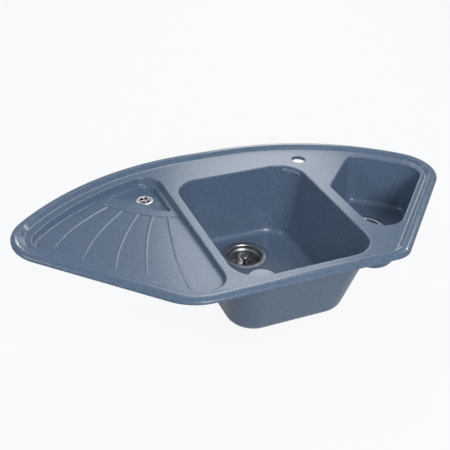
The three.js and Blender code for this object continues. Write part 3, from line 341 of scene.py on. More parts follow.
def rim_rings():
    """The rim's section: a broad round shoulder up to a tight crest, then a straight slope to the deck."""
    rings = [ring(outline(rim_plan, HAIR + RIM_BEVEL), 0), ring(outline(rim_plan, HAIR), RIM_BEVEL)]
    steps, reach, bend = 12, radians(SHOULDER_TURN), 5
    crest, foot = Vector((CREST_INSET, CREST)), Vector((SLOPE_FOOT, DECK))
    shoulder = crest - Vector((CREST_ROUND, 0.15))
    for k in range(steps + 1):
        a = reach * k / steps
        inset = HAIR + (shoulder.x - HAIR) * (1 - cos(a)) / (1 - cos(reach))
        rings.append(ring(outline(rim_plan, inset), RIM_EDGE + (shoulder.y - RIM_EDGE) * sin(a) / sin(reach)))
    fall = (foot - crest).normalized()
    rounded = (
        (1, shoulder, crest, crest + fall * CREST_ROUND),
        (0, foot - fall * 2, foot, Vector((RIM_WIDTH + 0.6, DECK))),
    )
    for first, start, corner, end in rounded:
        for k in range(first, bend + 1):
            t = k / bend
            inset, height = start * (1 - t) ** 2 + corner * 2 * t * (1 - t) + end * t * t
            rings.append(ring(outline(rim_plan, inset), height))
    return rings


def bowl(name, plan, drafts, corner_loss, depth, fillet, wall, floor_thickness, lip=3.5):
    """A bowl's hollow, or with a wall its outside: a rounded floor, drafted sides and a rounded lip."""
    floor = DECK - depth - floor_thickness
    bend = fillet + wall
    rings = []

    def section(height, extra):
        share = (DECK - height) / depth
        insets = [draft * share - wall + extra for draft in drafts]
        return ring(outline(plan, insets, corner_loss * share - wall + extra), height)

    for k in range(11):
        a = pi / 2 * (1 - k / 10)
        rings.append(section(floor + bend * (1 - sin(a)), bend * (1 - cos(a))))
    if wall:
        rings.append(section(DECK - DECK_THICKNESS / 2, 0))
        return solid(name, rings)
    for k in range(9):
        a = pi / 2 * k / 8
        rings.append(section(DECK - lip * (1 - sin(a)), -lip * (1 - cos(a))))
    rings.append(ring(outline(plan, -lip), ABOVE))
    return solid(name, rings)


def main_bowl(name, wall, thickness):
    return bowl(name, main_plan, MAIN_DRAFTS, MAIN_CORNER_LOSS, MAIN["depth"], MAIN["fillet"],
                wall, thickness)


def half_bowl(name, wall, thickness):
    return bowl(name, half_plan, HALF_DRAFTS, HALF_CORNER_LOSS, HALF["depth"], HALF["fillet"],
                wall, thickness)


def tray_hollow():
    """The drainer's hollow, with a round foot to its wall and a round upper edge."""
    rings = []
    foot, lip = 5, 3
    for k in range(7):
        a = pi / 2 * k / 6
        inset = TRAY_WALL_RUN + foot * (1 - sin(a))
        rise = foot * (1 - cos(a))
        rings.append(ring(outline(tray_plan, inset), lambda x, y, rise=rise: tray_floor(x, y) + rise))
    for k in range(7):
        a = pi / 2 * k / 6
        rings.append(ring(outline(tray_plan, 1.5 - lip * (1 - cos(a))), DECK - lip * (1 - sin(a))))
    rings.append(ring(outline(tray_plan, 1.5 - lip), ABOVE))
    return solid("tray_hollow", rings)


def well_hollow():
    """The well's hollow in the drainer's floor. Below the drain's seat it is filled up level."""
    def rim_height(x, y):
        return tray_floor(x, y) + BAND_HEIGHT

    def wall(share):
        """A height between the floor and the well's edge."""
        return lambda x, y: well_floor(x, y) * (1 - share) + rim_height(x, y) * share

    rings = [
        ring(outline(well_plan, WELL_WALL_RUN + 2), well_floor),
        ring(outline(well_plan, WELL_WALL_RUN), wall(0.1)),
        ring(outline(well_plan, WELL_WALL_RUN * 0.7), wall(0.3)),
        ring(outline(well_plan, WELL_WALL_RUN * 0.3), wall(0.85)),
        ring(outline(well_plan, -0.5), lambda x, y: rim_height(x, y) - 0.3),
        ring(outline(well_plan, -1.2), lambda x, y: rim_height(x, y) + 0.1),
        ring(outline(well_plan, -1.2), DECK),
    ]
    return solid("well_hollow", rings, bent_floor=True)


def rod(name, radius, bottom, top, centre=(0, 0), steps=64):
    plan = [Vector((centre[0], centre[1])) + facing(360 * i / steps) * radius for i in range(steps)]
    return solid(name, [ring(plan, bottom), ring(plan, top)])


def rib(number, points):
    """One low rib, an arc in section, that broadens towards the well."""
    front, middle, back = (Vector(p) for p in points)
    control = middle * 2 - (front + back) / 2
    steps, across, sunk = 28, 12, 0.1
    sections = []
    for k in range(steps + 1):
        t = k / steps
        p = front * (1 - t) ** 2 + control * 2 * t * (1 - t) + back * t * t
        ahead = (control - front) * (1 - t) + (back - control) * t
        left = Vector((-ahead.y, ahead.x)).normalized()
        end = min(1, 0.3 + 6 * t)
        half = (RIB_HALVES[0] * (1 - t) + RIB_HALVES[1] * t) * end
        height = (RIB_HEIGHTS[0] * (1 - t) + RIB_HEIGHTS[1] * t) * end
        section = [(half, -2)]
        for m in range(across + 1):
            share = 1 - 2 * m / across
            section.append((half * share, (height + sunk) * (1 - share * share) - sunk))
        section.append((-half, -2))
        floor = tray_floor(p.x, p.y)
        sections.append([Vector((*(p + left * side), floor + up)) for side, up in section])
    return solid(f"rib_{number}", sections)


def band():
    """The raised band that the ribs run into, along the front of the well, with a soft front edge."""
    rings = [ring(outline(band_plan, -2.5), lambda x, y: tray_floor(x, y) - 2)]
    for k in range(7):
        share = (1 - cos(pi * k / 6)) / 2
        rings.append(ring(
            outline(band_plan, -2.5 + 5 * k / 6),
            lambda x, y, share=share: tray_floor(x, y) - 0.1 + (BAND_HEIGHT + 0.1) * share))
    return solid("band", rings)


sink = solid("granite_sink", rim_rings())
slab = solid("slab", [
    ring(outline(rim_plan, RIM_LAND), DECK - DECK_THICKNESS),
    ring(outline(rim_plan, RIM_LAND), DECK - 1),
])
tray_outside = solid("tray_outside", [
    ring(outline(tray_plan, -WALL / 4), lambda x, y: tray_floor(x, y) - WALL),
    ring(outline(tray_plan, -WALL * 0.8), lambda x, y: tray_floor(x, y) - WALL * 0.8),
    ring(outline(tray_plan, -WALL), lambda x, y: tray_floor(x, y) - WALL / 2),
    ring(outline(tray_plan, -WALL), DECK - DECK_THICKNESS / 2),
])
well_outside = solid("well_outside", [
    ring(outline(well_plan, -WALL / 2), well_underside),
    ring(outline(well_plan, -WALL), well_underside + WALL / 2),
    ring(outline(well_plan, -WALL), DECK - DECK_THICKNESS),
])

# The flange of each waste sinks into a shallow round seat in its bowl's floor.
FLANGE_RADIUS = 56
SEAT_DEPTH = 2.5
SEAT_CLEARANCE = 1.5
WASTE_HOLE_RADIUS = 45
GRATE_RADIUS = 20.7
GRATE_TUBE_RADIUS = 14.5
WELL_SEAT_CLEARANCE = 2


def seat_cutters(prefix, centre, floor):
    plan = [facing(360 * i / 96) for i in range(96)]

    def circle(radius, height):
        return [Vector((centre.x + p.x * radius, centre.y + p.y * radius, height)) for p in plan]

    seat = FLANGE_RADIUS + SEAT_CLEARANCE
    return [
        solid(f"{prefix}_seat", [
            circle(seat, floor - SEAT_DEPTH), circle(seat, floor - 0.8), circle(seat + 0.3, floor - 0.25),
            circle(seat + 1.2, floor), circle(seat + 1.2, floor + 1)]),
        solid(f"{prefix}_hole", [
            circle(WASTE_HOLE_RADIUS, floor - 2 * FLOOR_THICKNESS), circle(WASTE_HOLE_RADIUS, floor)]),
    ]


well_cut = carved(well_hollow(), removed=[
    solid("below_seat", [
        [Vector((WELL_DRAIN.x + x, WELL_DRAIN.y + y, z))
         for x, y in ((-99, -99), (99, -99), (99, 99), (-99, 99))]
        for z in (-200, well_seat)]),
])
tap_circle = [facing(360 * i / 64) for i in range(64)]
tap_cut = solid("tap_cut", [
    [Vector((TAP_HOLE[0] + p.x * r, TAP_HOLE[1] + p.y * r, z)) for p in tap_circle]
    for r, z in ((TAP_HOLE_RADIUS, -ABOVE), (TAP_HOLE_RADIUS, DECK - TAP_HOLE_EDGE),
                 (TAP_HOLE_RADIUS + TAP_HOLE_EDGE * 0.3, DECK - TAP_HOLE_EDGE * 0.3),
                 (TAP_HOLE_RADIUS + TAP_HOLE_EDGE, DECK), (TAP_HOLE_RADIUS + TAP_HOLE_EDGE, ABOVE))])

# The overflow lies about the upright axis of the main bowl's back right corner.
OVERFLOW_AXIS = Vector((MAIN["right"] - MAIN["corner"], MAIN["back"] - MAIN["corner"], 0))
OVERFLOW_FROM, OVERFLOW_TO = 17.5, 63.5
COVER_TOP, COVER_BOTTOM = -4.3, -14.7
SLOT_FROM, SLOT_TO = 24.5, 56.5
SLOT_BOTTOM, SLOT_TOP = -13.7, -9.5
POCKET_RADIUS = 61.2
LAND_FROM, LAND_TO = 13.5, 67.5
LAND_INNER, LAND_OUTER = 58, 70.5  # the thicker wall that the funnel is screwed to
FUNNEL_TOP, FUNNEL_BOTTOM = -7.3, -32.3


def sector(name, inner, outer, start, end, bottom, top, soft=0.0, steps=24):
    """A stretch of ring wall about the overflow's axis, with its long edges softened."""
    section = [
        (inner, bottom + soft), (inner + soft, bottom), (outer - soft, bottom), (outer, bottom + soft),
        (outer, top - soft), (outer - soft, top), (inner + soft, top), (inner, top - soft)]
    if not soft:
        section = [(inner, bottom), (outer, bottom), (outer, top), (inner, top)]
    rings = []
    for k in range(steps + 1):
        way = facing(start + (end - start) * k / steps)
        rings.append([OVERFLOW_AXIS + Vector((way.x * r, way.y * r, z)) for r, z in section])
    return solid(name, list(reversed(rings)))


def front_recess():
    """A shallow bare plate, sunk into the outside of the main bowl's front wall."""
    half, radius, depth = Vector((16, 7)), 2, 0.9
    middle = Vector((66, -98))  # across the wall, and up

    def plate(shrink, sunk):
        points = []
        for corner, (sx, sz) in enumerate(((1, -1), (1, 1), (-1, 1), (-1, -1))):
            for k in range(5):
                p = Vector((sx * (half.x - radius), sz * (half.y - radius)))
                p += facing(-90 + 90 * corner + 22.5 * k) * (radius - shrink)
                x, z = middle.x + p.x, middle.y + p.y
                wall = MAIN["front"] - WALL + MAIN_DRAFTS[3] * (DECK - z) / MAIN["depth"]
                points.append(Vector((x, wall + sunk, z)))
        return points

    return solid("front_recess", [plate(0.7, depth), plate(0, depth * 0.2), plate(-0.4, -2)])


carved(
    sink,
    joined=[
        slab,
        main_bowl("main_outside", WALL, FLOOR_THICKNESS),
        half_bowl("half_outside", WALL, FLOOR_THICKNESS),
        tray_outside,
        well_outside,
        sector("overflow_land", LAND_INNER, LAND_OUTER, LAND_FROM, LAND_TO, FUNNEL_BOTTOM, DECK - 1),
    ],
    removed=[main_bowl("main_hollow", 0, 0), half_bowl("half_hollow", 0, 0), tray_hollow()],
)
carved(sink, joined=[band(), *(rib(i, points) for i, points in enumerate(RIBS))])
carved(sink, removed=[
    front_recess(),
    well_cut,
    rod("well_seat", GRATE_RADIUS + WELL_SEAT_CLEARANCE, well_seat, well_seat + 8, WELL_DRAIN),
    rod("well_hole", GRATE_TUBE_RADIUS + WELL_SEAT_CLEARANCE, well_underside - 5, well_seat + 1, WELL_DRAIN),
    tap_cut,
    *seat_cutters("main", MAIN_DRAIN, main_floor),
    *seat_cutters("half", HALF_DRAIN, half_floor),
    sector("cover_pocket", 50, POCKET_RADIUS + 0.3, OVERFLOW_FROM - 0.5, OVERFLOW_TO + 0.5,
           COVER_BOTTOM - 0.3, COVER_TOP + 0.3),
    sector("overflow_slot", 55, 80, SLOT_FROM, SLOT_TO, SLOT_BOTTOM, SLOT_TOP),
])
smoothed(sink)

# ---------------------------------------------------------------- the sink: its finish
# Granite composite, cast against a satin mould. Quartz grains of under a millimetre, most of them coloured
# slate blue with some left pale or dark, show through a thin satin skin of resin.


def linear(code):
    """An sRGB hex colour in the linear values that shaders take."""
    parts = [int(code[i:i + 2], 16) / 255 for i in (1, 3, 5)]
    return (*(c / 12.92 if c <= 0.04045 else ((c + 0.055) / 1.055) ** 2.4 for c in parts), 1)


def node(material, kind, settings=None, **links):
    """Adds a shader node. Settings are its properties, or values of its inputs; links feed its inputs. An
    input goes by its name or by its number, as "0" in the settings and in0 in the links."""
    tree = material.node_tree
    added = tree.nodes.new(kind)
    for name, value in (settings or {}).items():
        if hasattr(added, name):
            setattr(added, name, value)
        else:
            added.inputs[int(name) if name.isdigit() else name].default_value = value
    for name, source in links.items():
        key = name.replace("_", " ")
        numbered = key.startswith("in") and key[2:].isdigit()
        tree.links.new(source, added.inputs[int(key[2:]) if numbered else key])
    return added


def new_material(name):
    """An empty material, its Principled shader and its output."""
    material = bpy.data.materials.new(name)
    material.use_nodes = True
    material.node_tree.nodes.clear()
    shader = node(material, "ShaderNodeBsdfPrincipled")
    node(material, "ShaderNodeOutputMaterial", Surface=shader.outputs["BSDF"])
    return material, shader


def wire(material, source, shader, socket):
    material.node_tree.links.new(source, shader.inputs[socket])


def ramp(material, factor, stops):
    """A colour ramp over hex colours at their places."""
    added = node(material, "ShaderNodeValToRGB", Fac=factor)
    elements = added.color_ramp.elements
    while len(elements) < len(stops):
        elements.new(0.5)
    for element, (place, code) in zip(elements, stops):
        element.position = place
        element.color = linear(code)
    return added.outputs["Color"]


GRAIN = 1.5 * MM  # real grains are about 0.6 mm; drawn coarser so that they show
FINE_GRAIN = 0.8 * MM
CLOUD = 90 * MM

granite, shader = new_material("granite_composite_cast")
place = node(granite, "ShaderNodeTexCoord").outputs["Object"]
coarse = node(granite, "ShaderNodeTexVoronoi", {"Scale": 1 / GRAIN, "Randomness": 1.0}, Vector=place)
fine = node(granite, "ShaderNodeTexVoronoi", {"Scale": 1 / FINE_GRAIN, "Randomness": 1.0}, Vector=place)
cloud = node(granite, "ShaderNodeTexNoise", {"Scale": 1 / CLOUD, "Detail": 2.0}, Vector=place)
coarse_grain = node(granite, "ShaderNodeSeparateColor", Color=coarse.outputs["Color"]).outputs["Red"]
fine_grain = node(granite, "ShaderNodeSeparateColor", Color=fine.outputs["Color"]).outputs["Green"]
grains = ramp(granite, coarse_grain, [
    (0.0, "#394a5f"), (0.12, "#495b70"), (0.3, "#54677e"),
    (0.75, "#5c6f87"), (0.92, "#697e96"), (1.0, "#788da5")])
specks = ramp(granite, fine_grain, [(0.0, "#435469"), (0.4, "#53667d"), (0.85, "#5f728a"), (1.0, "#7489a0")])
mixed = node(granite, "ShaderNodeMix", {"data_type": "RGBA", "0": 0.45}, in6=grains, in7=specks)
wire(granite, mixed.outputs[2], shader, "Base Color")
wear = node(granite, "ShaderNodeMapRange", {"3": 0.32, "4": 0.38}, in0=cloud.outputs["Fac"])
wire(granite, wear.outputs[0], shader, "Roughness")
bump = node(granite, "ShaderNodeBump", {"Strength": 0.06, "Distance": 0.15 * MM}, Height=fine_grain)
wire(granite, bump.outputs["Normal"], shader, "Normal")
shader.inputs["IOR"].default_value = 1.5
shader.inputs["Specular IOR Level"].default_value = 0.25
shader.inputs["Coat Weight"].default_value = 0.5
shader.inputs["Coat Roughness"].default_value = 0.18

sink.data.materials.clear()
sink.data.materials.append(granite)
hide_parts("sink_moulding")
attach(sink, "sink")

# ---------------------------------------------------------------- the basket wastes
# Each bowl drains through a basket waste: a flange with its cup and a lift-out basket, pressed from stainless
# sheet and polished, over a moulded body that is drawn up by one centre screw. Both wastes are alike.

FLANGE_LIFT = 1.5 - SEAT_DEPTH  # the flange's underside, from the bowl's floor
SHEET = 1.2
CUP_RADIUS = 42
CUP_STEP = 12
CUP_LOWER = 39.6
CUP_DEPTH = 40
BASKET_FLOOR = -37.5
HUB_RADIUS = 12
HUB_RISE = 3.5
SCREW_BORE = 4.3


def softened(profile, steps=4):
    """The closed profile of (radius, height, rounding) with its corners rounded."""
    points = []
    for i, (x, z, rounding) in enumerate(profile):
        here = Vector((x, z))
        before, after = (Vector(profile[(i + d) % len(profile)][:2]) for d in (-1, 1))
        if not rounding:
            points.append(here)
            continue
        inward, outward = before - here, after - here
        cut = min(rounding, inward.length * 0.45, outward.length * 0.45)
        a, b = here + inward.normalized() * cut, here + outward.normalized() * cut
        for k in range(steps + 1):
            t = k / steps
            points.append(a * (1 - t) ** 2 + here * 2 * t * (1 - t) + b * t * t)
    return points


def turned(name, profile, steps=96, sharp=38):
    """A piece turned about its own upright axis from a closed profile, counter-clockwise, in millimetres."""
    points = softened(profile)
    vertices, index = [], []
    for x, z in points:
        on_axis, first = x < 1e-6, len(vertices)
        index.append([first] * steps if on_axis else list(range(first, first + steps)))
        vertices += [Vector((0, 0, z)) * MM] if on_axis else [
            Vector((*(facing(360 * i / steps) * x), z)) * MM for i in range(steps)]
    faces = []
    for k in range(len(points)):
        here, there = index[k], index[(k + 1) % len(points)]
        if here[0] == here[-1] and there[0] == there[-1]:
            continue
        for i in range(steps):
            corners = [here[i], here[(i + 1) % steps], there[(i + 1) % steps], there[i]]
            faces.append(tuple(dict.fromkeys(corners)))
    mesh = bpy.data.meshes.new(name)
    mesh.from_pydata(vertices, [], faces)
    piece = bpy.data.objects.new(name, mesh)
    bpy.context.collection.objects.link(piece)
    return smoothed(piece, sharp) if sharp else piece


def tube(name, inner, outer, bottom, top, rounding=0.5):
    return turned(name, [
        (inner, bottom, rounding), (outer, bottom, rounding), (outer, top, rounding), (inner, top, rounding)])


def put(piece, place, material, body, cad_node):
    """Sets a finished piece in its place, in its material, for its node of the frame."""
    piece.location = Vector(place) * MM
    piece.data.materials.clear()
    piece.data.materials.append(material)
    bpy.context.view_layer.update()
    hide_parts(cad_node)
    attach(piece, body)
    return piece


def all_round(count, make, start=0.0):
    """Copies of a cutter, turned about the upright axis."""
    pieces = []
    for i in range(count):
        piece = make(i)
        piece.data.transform(Matrix.Rotation(2 * pi * i / count + radians(start), 4, "Z"))
        pieces.append(piece)
    return pieces


def slot_cutter(name, reach, width, bottom, top, depth=12):
    """A round-ended slot that is cut outwards through a wall at this distance from the axis."""
    half, middle = width / 2, (top - bottom) / 2 - width / 2
    plan = [facing(180 * k / 10) * half + Vector((0, middle)) for k in range(11)]
    plan += [facing(180 + 180 * k / 10) * half - Vector((0, middle)) for k in range(11)]
    centre = (bottom + top) / 2
    return solid(name, [[Vector((x, p.x, centre + p.y)) for p in plan]
                        for x in (reach - depth / 2, reach + depth / 2)])


# Stainless steel, pressed and then brushed on a lathe: a soft shine, with a very fine ring-shaped grain.
POLISH_PITCH = 0.5 * MM  # the real grain is finer; drawn coarser so that it shows
WAVE_AT_SCALE_1 = 0.314  # how far apart a wave texture's rings then lie

stainless, shader = new_material("stainless_steel_spun")
place = node(stainless, "ShaderNodeTexCoord").outputs["Object"]
rings = node(stainless, "ShaderNodeTexWave", {
    "wave_type": "RINGS", "rings_direction": "Z", "Scale": WAVE_AT_SCALE_1 / POLISH_PITCH,
    "Distortion": 1.5, "Detail": 2.0,
}, Vector=place)
streak = node(stainless, "ShaderNodeMapRange", {"3": 0.3, "4": 0.42}, in0=rings.outputs["Fac"])
wire(stainless, streak.outputs[0], shader, "Roughness")
smudge = node(stainless, "ShaderNodeTexNoise", {"Scale": 1 / (25 * MM), "Detail": 3.0}, Vector=place)
tint = ramp(stainless, smudge.outputs["Fac"], [(0.3, "#9b9c9e"), (0.7, "#adaeb0")])
wire(stainless, tint, shader, "Base Color")
shader.inputs["Metallic"].default_value = 1
shader.inputs["Anisotropic"].default_value = 0.4

# EPDM rubber, moulded: matt black with a faint mould grain.
rubber, shader = new_material("epdm_rubber_moulded")
place = node(rubber, "ShaderNodeTexCoord").outputs["Object"]
grain = node(rubber, "ShaderNodeTexNoise", {"Scale": 1 / (0.8 * MM), "Detail": 2.0}, Vector=place)
wire(rubber, ramp(rubber, grain.outputs["Fac"], [(0.3, "#1c1e20"), (0.7, "#2b2d2f")]), shader, "Base Color")
bump = node(rubber, "ShaderNodeBump", {"Strength": 0.3, "Distance": 0.1 * MM}, Height=grain.outputs["Fac"])
wire(rubber, bump.outputs["Normal"], shader, "Normal")
shader.inputs["Roughness"].default_value = 0.75

# Polypropylene, injection moulded: milky white, half matt, with a fine spark-eroded grain.
polypropylene, shader = new_material("polypropylene_moulded")
place = node(polypropylene, "ShaderNodeTexCoord").outputs["Object"]
grain = node(polypropylene, "ShaderNodeTexNoise", {"Scale": 1 / (0.7 * MM), "Detail": 3.0}, Vector=place)
cloud = node(polypropylene, "ShaderNodeTexNoise", {"Scale": 1 / (40 * MM), "Detail": 1.0}, Vector=place)
wire(polypropylene, ramp(polypropylene, cloud.outputs["Fac"], [(0.3, "#d5d6d3"), (0.7, "#e2e2df")]), shader,
     "Base Color")
bump = node(polypropylene, "ShaderNodeBump", {"Strength": 0.25, "Distance": 0.08 * MM},
            Height=grain.outputs["Fac"])
wire(polypropylene, bump.outputs["Normal"], shader, "Normal")
shader.inputs["Roughness"].default_value = 0.42


def flange(name):
    """The flange with its stepped cup, and drain holes in the cup's floor."""
    lower, upper = CUP_LOWER + SHEET, CUP_RADIUS + SHEET
    piece = turned(name, [
        (SCREW_BORE, -CUP_DEPTH - SHEET, 0), (lower - 4, -CUP_DEPTH - SHEET, 2), (lower, -CUP_DEPTH + 2, 2),
        (lower, -CUP_STEP - 2, 0.8), (upper, -CUP_STEP, 0.8), (upper, -3, 1), (upper + 1.2, 0, 1),
        (FLANGE_RADIUS, 0, 0.3), (FLANGE_RADIUS - 0.4, SHEET * 0.8, 0.4), (FLANGE_RADIUS - 2.4, SHEET, 1),
        (upper + 3.2, SHEET - 0.1, 1), (upper + 0.6, SHEET - 0.6, 1), (CUP_RADIUS, -2, 1),
        (CUP_RADIUS, -CUP_STEP + SHEET, 0.8), (CUP_LOWER, -CUP_STEP - 0.8, 0.8),
        (CUP_LOWER, -CUP_DEPTH + 2, 2), (CUP_LOWER - 3, -CUP_DEPTH, 2), (SCREW_BORE, -CUP_DEPTH, 0)], sharp=0)
    holes = all_round(8, lambda i: rod(
        f"{name}_hole_{i}", 4.5, -CUP_DEPTH - 5, -CUP_DEPTH + 5, (20, 0), 24))
    return smoothed(carved(piece, removed=holes))


def basket(name):
    """The lift-out basket: a cup with slots in its wall and holes round the hub of its floor."""
    rim, wall, hub = CUP_RADIUS - 0.8, CUP_LOWER - 1.2, BASKET_FLOOR + HUB_RISE
    piece = turned(name, [
        (3.2, hub, 0), (HUB_RADIUS, hub, 1), (HUB_RADIUS + 2, BASKET_FLOOR, 1), (wall - 4, BASKET_FLOOR, 2),
        (wall - 1, BASKET_FLOOR + 3.5, 2), (wall, -CUP_STEP - 1.2, 0.6), (rim, -9.8, 0.3), (rim, -8.8, 0.3),
        (wall - 1, -CUP_STEP - 0.7, 0.6), (wall - 2, BASKET_FLOOR + 3.9, 2),
        (wall - 4.4, BASKET_FLOOR + 1, 2),
        (HUB_RADIUS + 2.6, BASKET_FLOOR + 1, 1), (HUB_RADIUS + 0.6, hub + 1, 1), (3.2, hub + 1, 0)], sharp=0)

    def floor_holes(count, radius, reach):
        return all_round(count, lambda i: rod(
            f"{name}_hole_{reach}_{i}", radius, BASKET_FLOOR - 3, BASKET_FLOOR + 3, (reach, 0), 20))

    slots = all_round(18, lambda i: slot_cutter(f"{name}_slot_{i}", wall - 0.5, 4, -31, -17))
    return smoothed(carved(piece, removed=[*slots, *floor_holes(12, 2.3, 22), *floor_holes(16, 2.0, 29)]))


def knob(name):
    foot = BASKET_FLOOR + HUB_RISE + 1
    top = SHEET - 3
    return turned(name, [
        (0, foot - 2.5, 0), (2.9, foot - 2.5, 0.3), (2.9, foot, 0), (9, foot, 0.3), (8, foot + 1.5, 0.6),
        (4.5, foot + 3, 1.5), (3.5, top - 10, 1.5), (9, top - 6.5, 1.5), (11, top - 4, 1.5),
        (9.5, top - 1.2, 1.5), (7.6, top - 0.2, 0.5), (7.0, top - 0.8, 0.4), (5.6, top - 0.9, 0.5),
        (0, top, 0)])


BODY_TOP = -13
BODY_INNER = CUP_RADIUS + SHEET + 2.3
BODY_OUTER = BODY_INNER + 3
CUP_BOTTOM = -53.2
TAIL_TOP = -65.2
TAIL_BOTTOM = -95.2
TAIL_RADIUS = 24
TAIL_INNER = 21
CLAMP_RADIUS = 57.5  # of the ring that presses the gasket to the bowl
BOSS_RADIUS = 9
BOSS_TOP = -41.2
ARM_LEVELS = (-50.2, -44.2)
ARM_HALF = 2.5  # half an arm's width
SPIGOT_RADIUS = 10
SPIGOT_BORE = 8


def lying(name, radius, start, end, height, steps=40):
    """A round bar that lies along the depth of the sink."""
    piece = rod(name, radius, start, end, steps=steps)
    piece.data.transform(Matrix.Translation((0, 0, height * MM)) @ Matrix.Rotation(-pi / 2, 4, "X"))
    return piece


def waste_body(name, with_spigot):
    """The moulded body under the bowl, with the boss that takes the centre screw on three arms."""
    piece = turned(name, [
        (TAIL_INNER, TAIL_BOTTOM, 0.4), (TAIL_RADIUS, TAIL_BOTTOM, 0.6), (TAIL_RADIUS, TAIL_TOP, 3),
        (BODY_OUTER, CUP_BOTTOM, 5), (BODY_OUTER, BODY_TOP - 4, 1.5), (CLAMP_RADIUS, BODY_TOP - 4, 0.8),
        (CLAMP_RADIUS, BODY_TOP, 0.6), (BODY_INNER, BODY_TOP, 0.5), (BODY_INNER, CUP_BOTTOM + 3, 4),
        (TAIL_INNER, TAIL_TOP + 3, 2),
    ], sharp=0)
    thread = [tube(f"{name}_thread_{k}", TAIL_RADIUS - 0.5, TAIL_RADIUS + 0.25, TAIL_TOP - 8 - 3 * k,
                   TAIL_TOP - 6.6 - 3 * k, 0.3) for k in range(2)]
    boss = rod(f"{name}_boss", BOSS_RADIUS, CUP_BOTTOM, BOSS_TOP, steps=48)
    arm_length = BODY_INNER + 1.5
    arms = all_round(3, lambda i: solid(f"{name}_arm_{i}", [
        [Vector((x, y, z)) for x, y in (
            (0, -ARM_HALF), (arm_length, -ARM_HALF), (arm_length, ARM_HALF), (0, ARM_HALF))]
        for z in ARM_LEVELS]))
    parts = [boss, *arms, *thread]
    bores = [rod(f"{name}_bore", SCREW_BORE, CUP_BOTTOM - 4, -CUP_DEPTH, steps=32)]
    if with_spigot:
        height = (BODY_TOP - 4 + CUP_BOTTOM) / 2
        parts.append(lying(f"{name}_spigot", SPIGOT_RADIUS, BODY_INNER + 1.5, BODY_OUTER + 22, height))
        parts.append(lying(f"{name}_collar", SPIGOT_RADIUS + 1.5, BODY_INNER + 1.5, BODY_OUTER + 2.5, height))
        bores.append(lying(f"{name}_bore_side", SPIGOT_BORE, BODY_INNER - 1, BODY_OUTER + 23, height))
    return smoothed(carved(piece, joined=parts, removed=bores))


def outlet_nut(name, grips=12):
    """The hand-tight nut on the outlet, with grips round its skirt."""
    bottom = TAIL_BOTTOM - 5.5
    top = bottom + 17
    piece = turned(name, [
        (TAIL_INNER, bottom, 0.5), (27.6, bottom, 1.2), (28.2, top - 2, 0.8), (27.4, top, 0.8),
        (24.3, top, 0.4), (24.3, bottom + 2.5, 0), (TAIL_INNER, bottom + 2.5, 0)], sharp=0)
    ribs = all_round(grips, lambda i: solid(f"{name}_grip_{i}", [
        [Vector((x, y, z)) for x, y in ((26, -1.6), (reach, -1.1), (reach, 1.1), (26, 1.6))]
        for z, reach in ((bottom + 1.2, 28.6), (bottom + 2.4, 29.5), (top - 3, 29.5), (top - 1.8, 28.6))]))
    return smoothed(carved(piece, joined=ribs))


def centre_screw(name):
    """A cheese-headed screw with a slot for a coin."""
    piece = turned(name, [
        (0, -55, 0), (3.4, -55, 0), (4, -54, 0), (4, -CUP_DEPTH, 0), (7, -CUP_DEPTH, 0.2),
        (7, -CUP_DEPTH + 2.5, 0.5), (5, -CUP_DEPTH + 3.5, 0.5), (0, -CUP_DEPTH + 3.5, 0)], steps=48, sharp=0)
    groove = solid(f"{name}_groove", [
        [Vector((x, y, z)) for x, y in ((-8, -0.8), (8, -0.8), (8, 0.8), (-8, 0.8))]
        for z in (-CUP_DEPTH + 2, -CUP_DEPTH + 5)])
    return smoothed(carved(piece, removed=[groove]))


def add_waste(prefix, centre, floor, with_spigot):
    place = (centre.x, centre.y, floor + FLANGE_LIFT)
    strainer = f"{prefix}_basket_strainer"
    lies = {"sink": [
        (flange(f"{prefix}_drain_flange"), stainless, "stainless", "waste_flange"),
        (tube(f"{prefix}_flange_gasket", 46, 55, -1.5, 0), rubber, "rubber", "upper_gasket"),
        (tube(f"{prefix}_body_gasket", BODY_INNER, CLAMP_RADIUS, BODY_TOP, BODY_TOP + 3, 0.8), rubber,
         "rubber", "lower_gasket"),
        (waste_body(f"{prefix}_drain_body", with_spigot), polypropylene, "white_plastic", "waste_body"),
        (centre_screw(f"{prefix}_screw"), stainless, "stainless", "centre_screw"),
        (tube(f"{prefix}_washer", TAIL_INNER, TAIL_RADIUS, TAIL_BOTTOM - 3, TAIL_BOTTOM), rubber, "rubber",
         "outlet_washer"),
        (outlet_nut(f"{prefix}_nut"), polypropylene, "white_plastic", "outlet_nut"),
    ], strainer: [
        (basket(f"{prefix}_strainer"), stainless, "stainless", "basket"),
        (tube(f"{prefix}_strainer_seal", HUB_RADIUS + 2.5, 33, -CUP_DEPTH, BASKET_FLOOR, 0.8), rubber,
         "rubber", "basket_seal"),
        (knob(f"{prefix}_knob"), stainless, "stainless", "basket_knob"),
    ]}
    for body, pieces in lies.items():
        for piece, material, slot, cad_node in pieces:
            put(piece, place, material, body, f"{prefix}_{cad_node}")


add_waste("main", MAIN_DRAIN, main_floor, True)
add_waste("half", HALF_DRAIN, half_floor, False)

# ---------------------------------------------------------------- the drainer's small drain
# A chromed brass grate with a cross in its mouth drops into the well; a nut clamps it from below, and a
# moulded tail takes its hose.

GRATE_WALL = 1.5
GRATE_TUBE_BOTTOM = -33
WELL_BORE = GRATE_TUBE_RADIUS + 0.3
WELL_NUT_TOP = -WALL - 2.5
WELL_TAIL_TOP = WELL_NUT_TOP - 8.3
WELL_TAIL_FLOOR = WELL_TAIL_TOP - 17.5

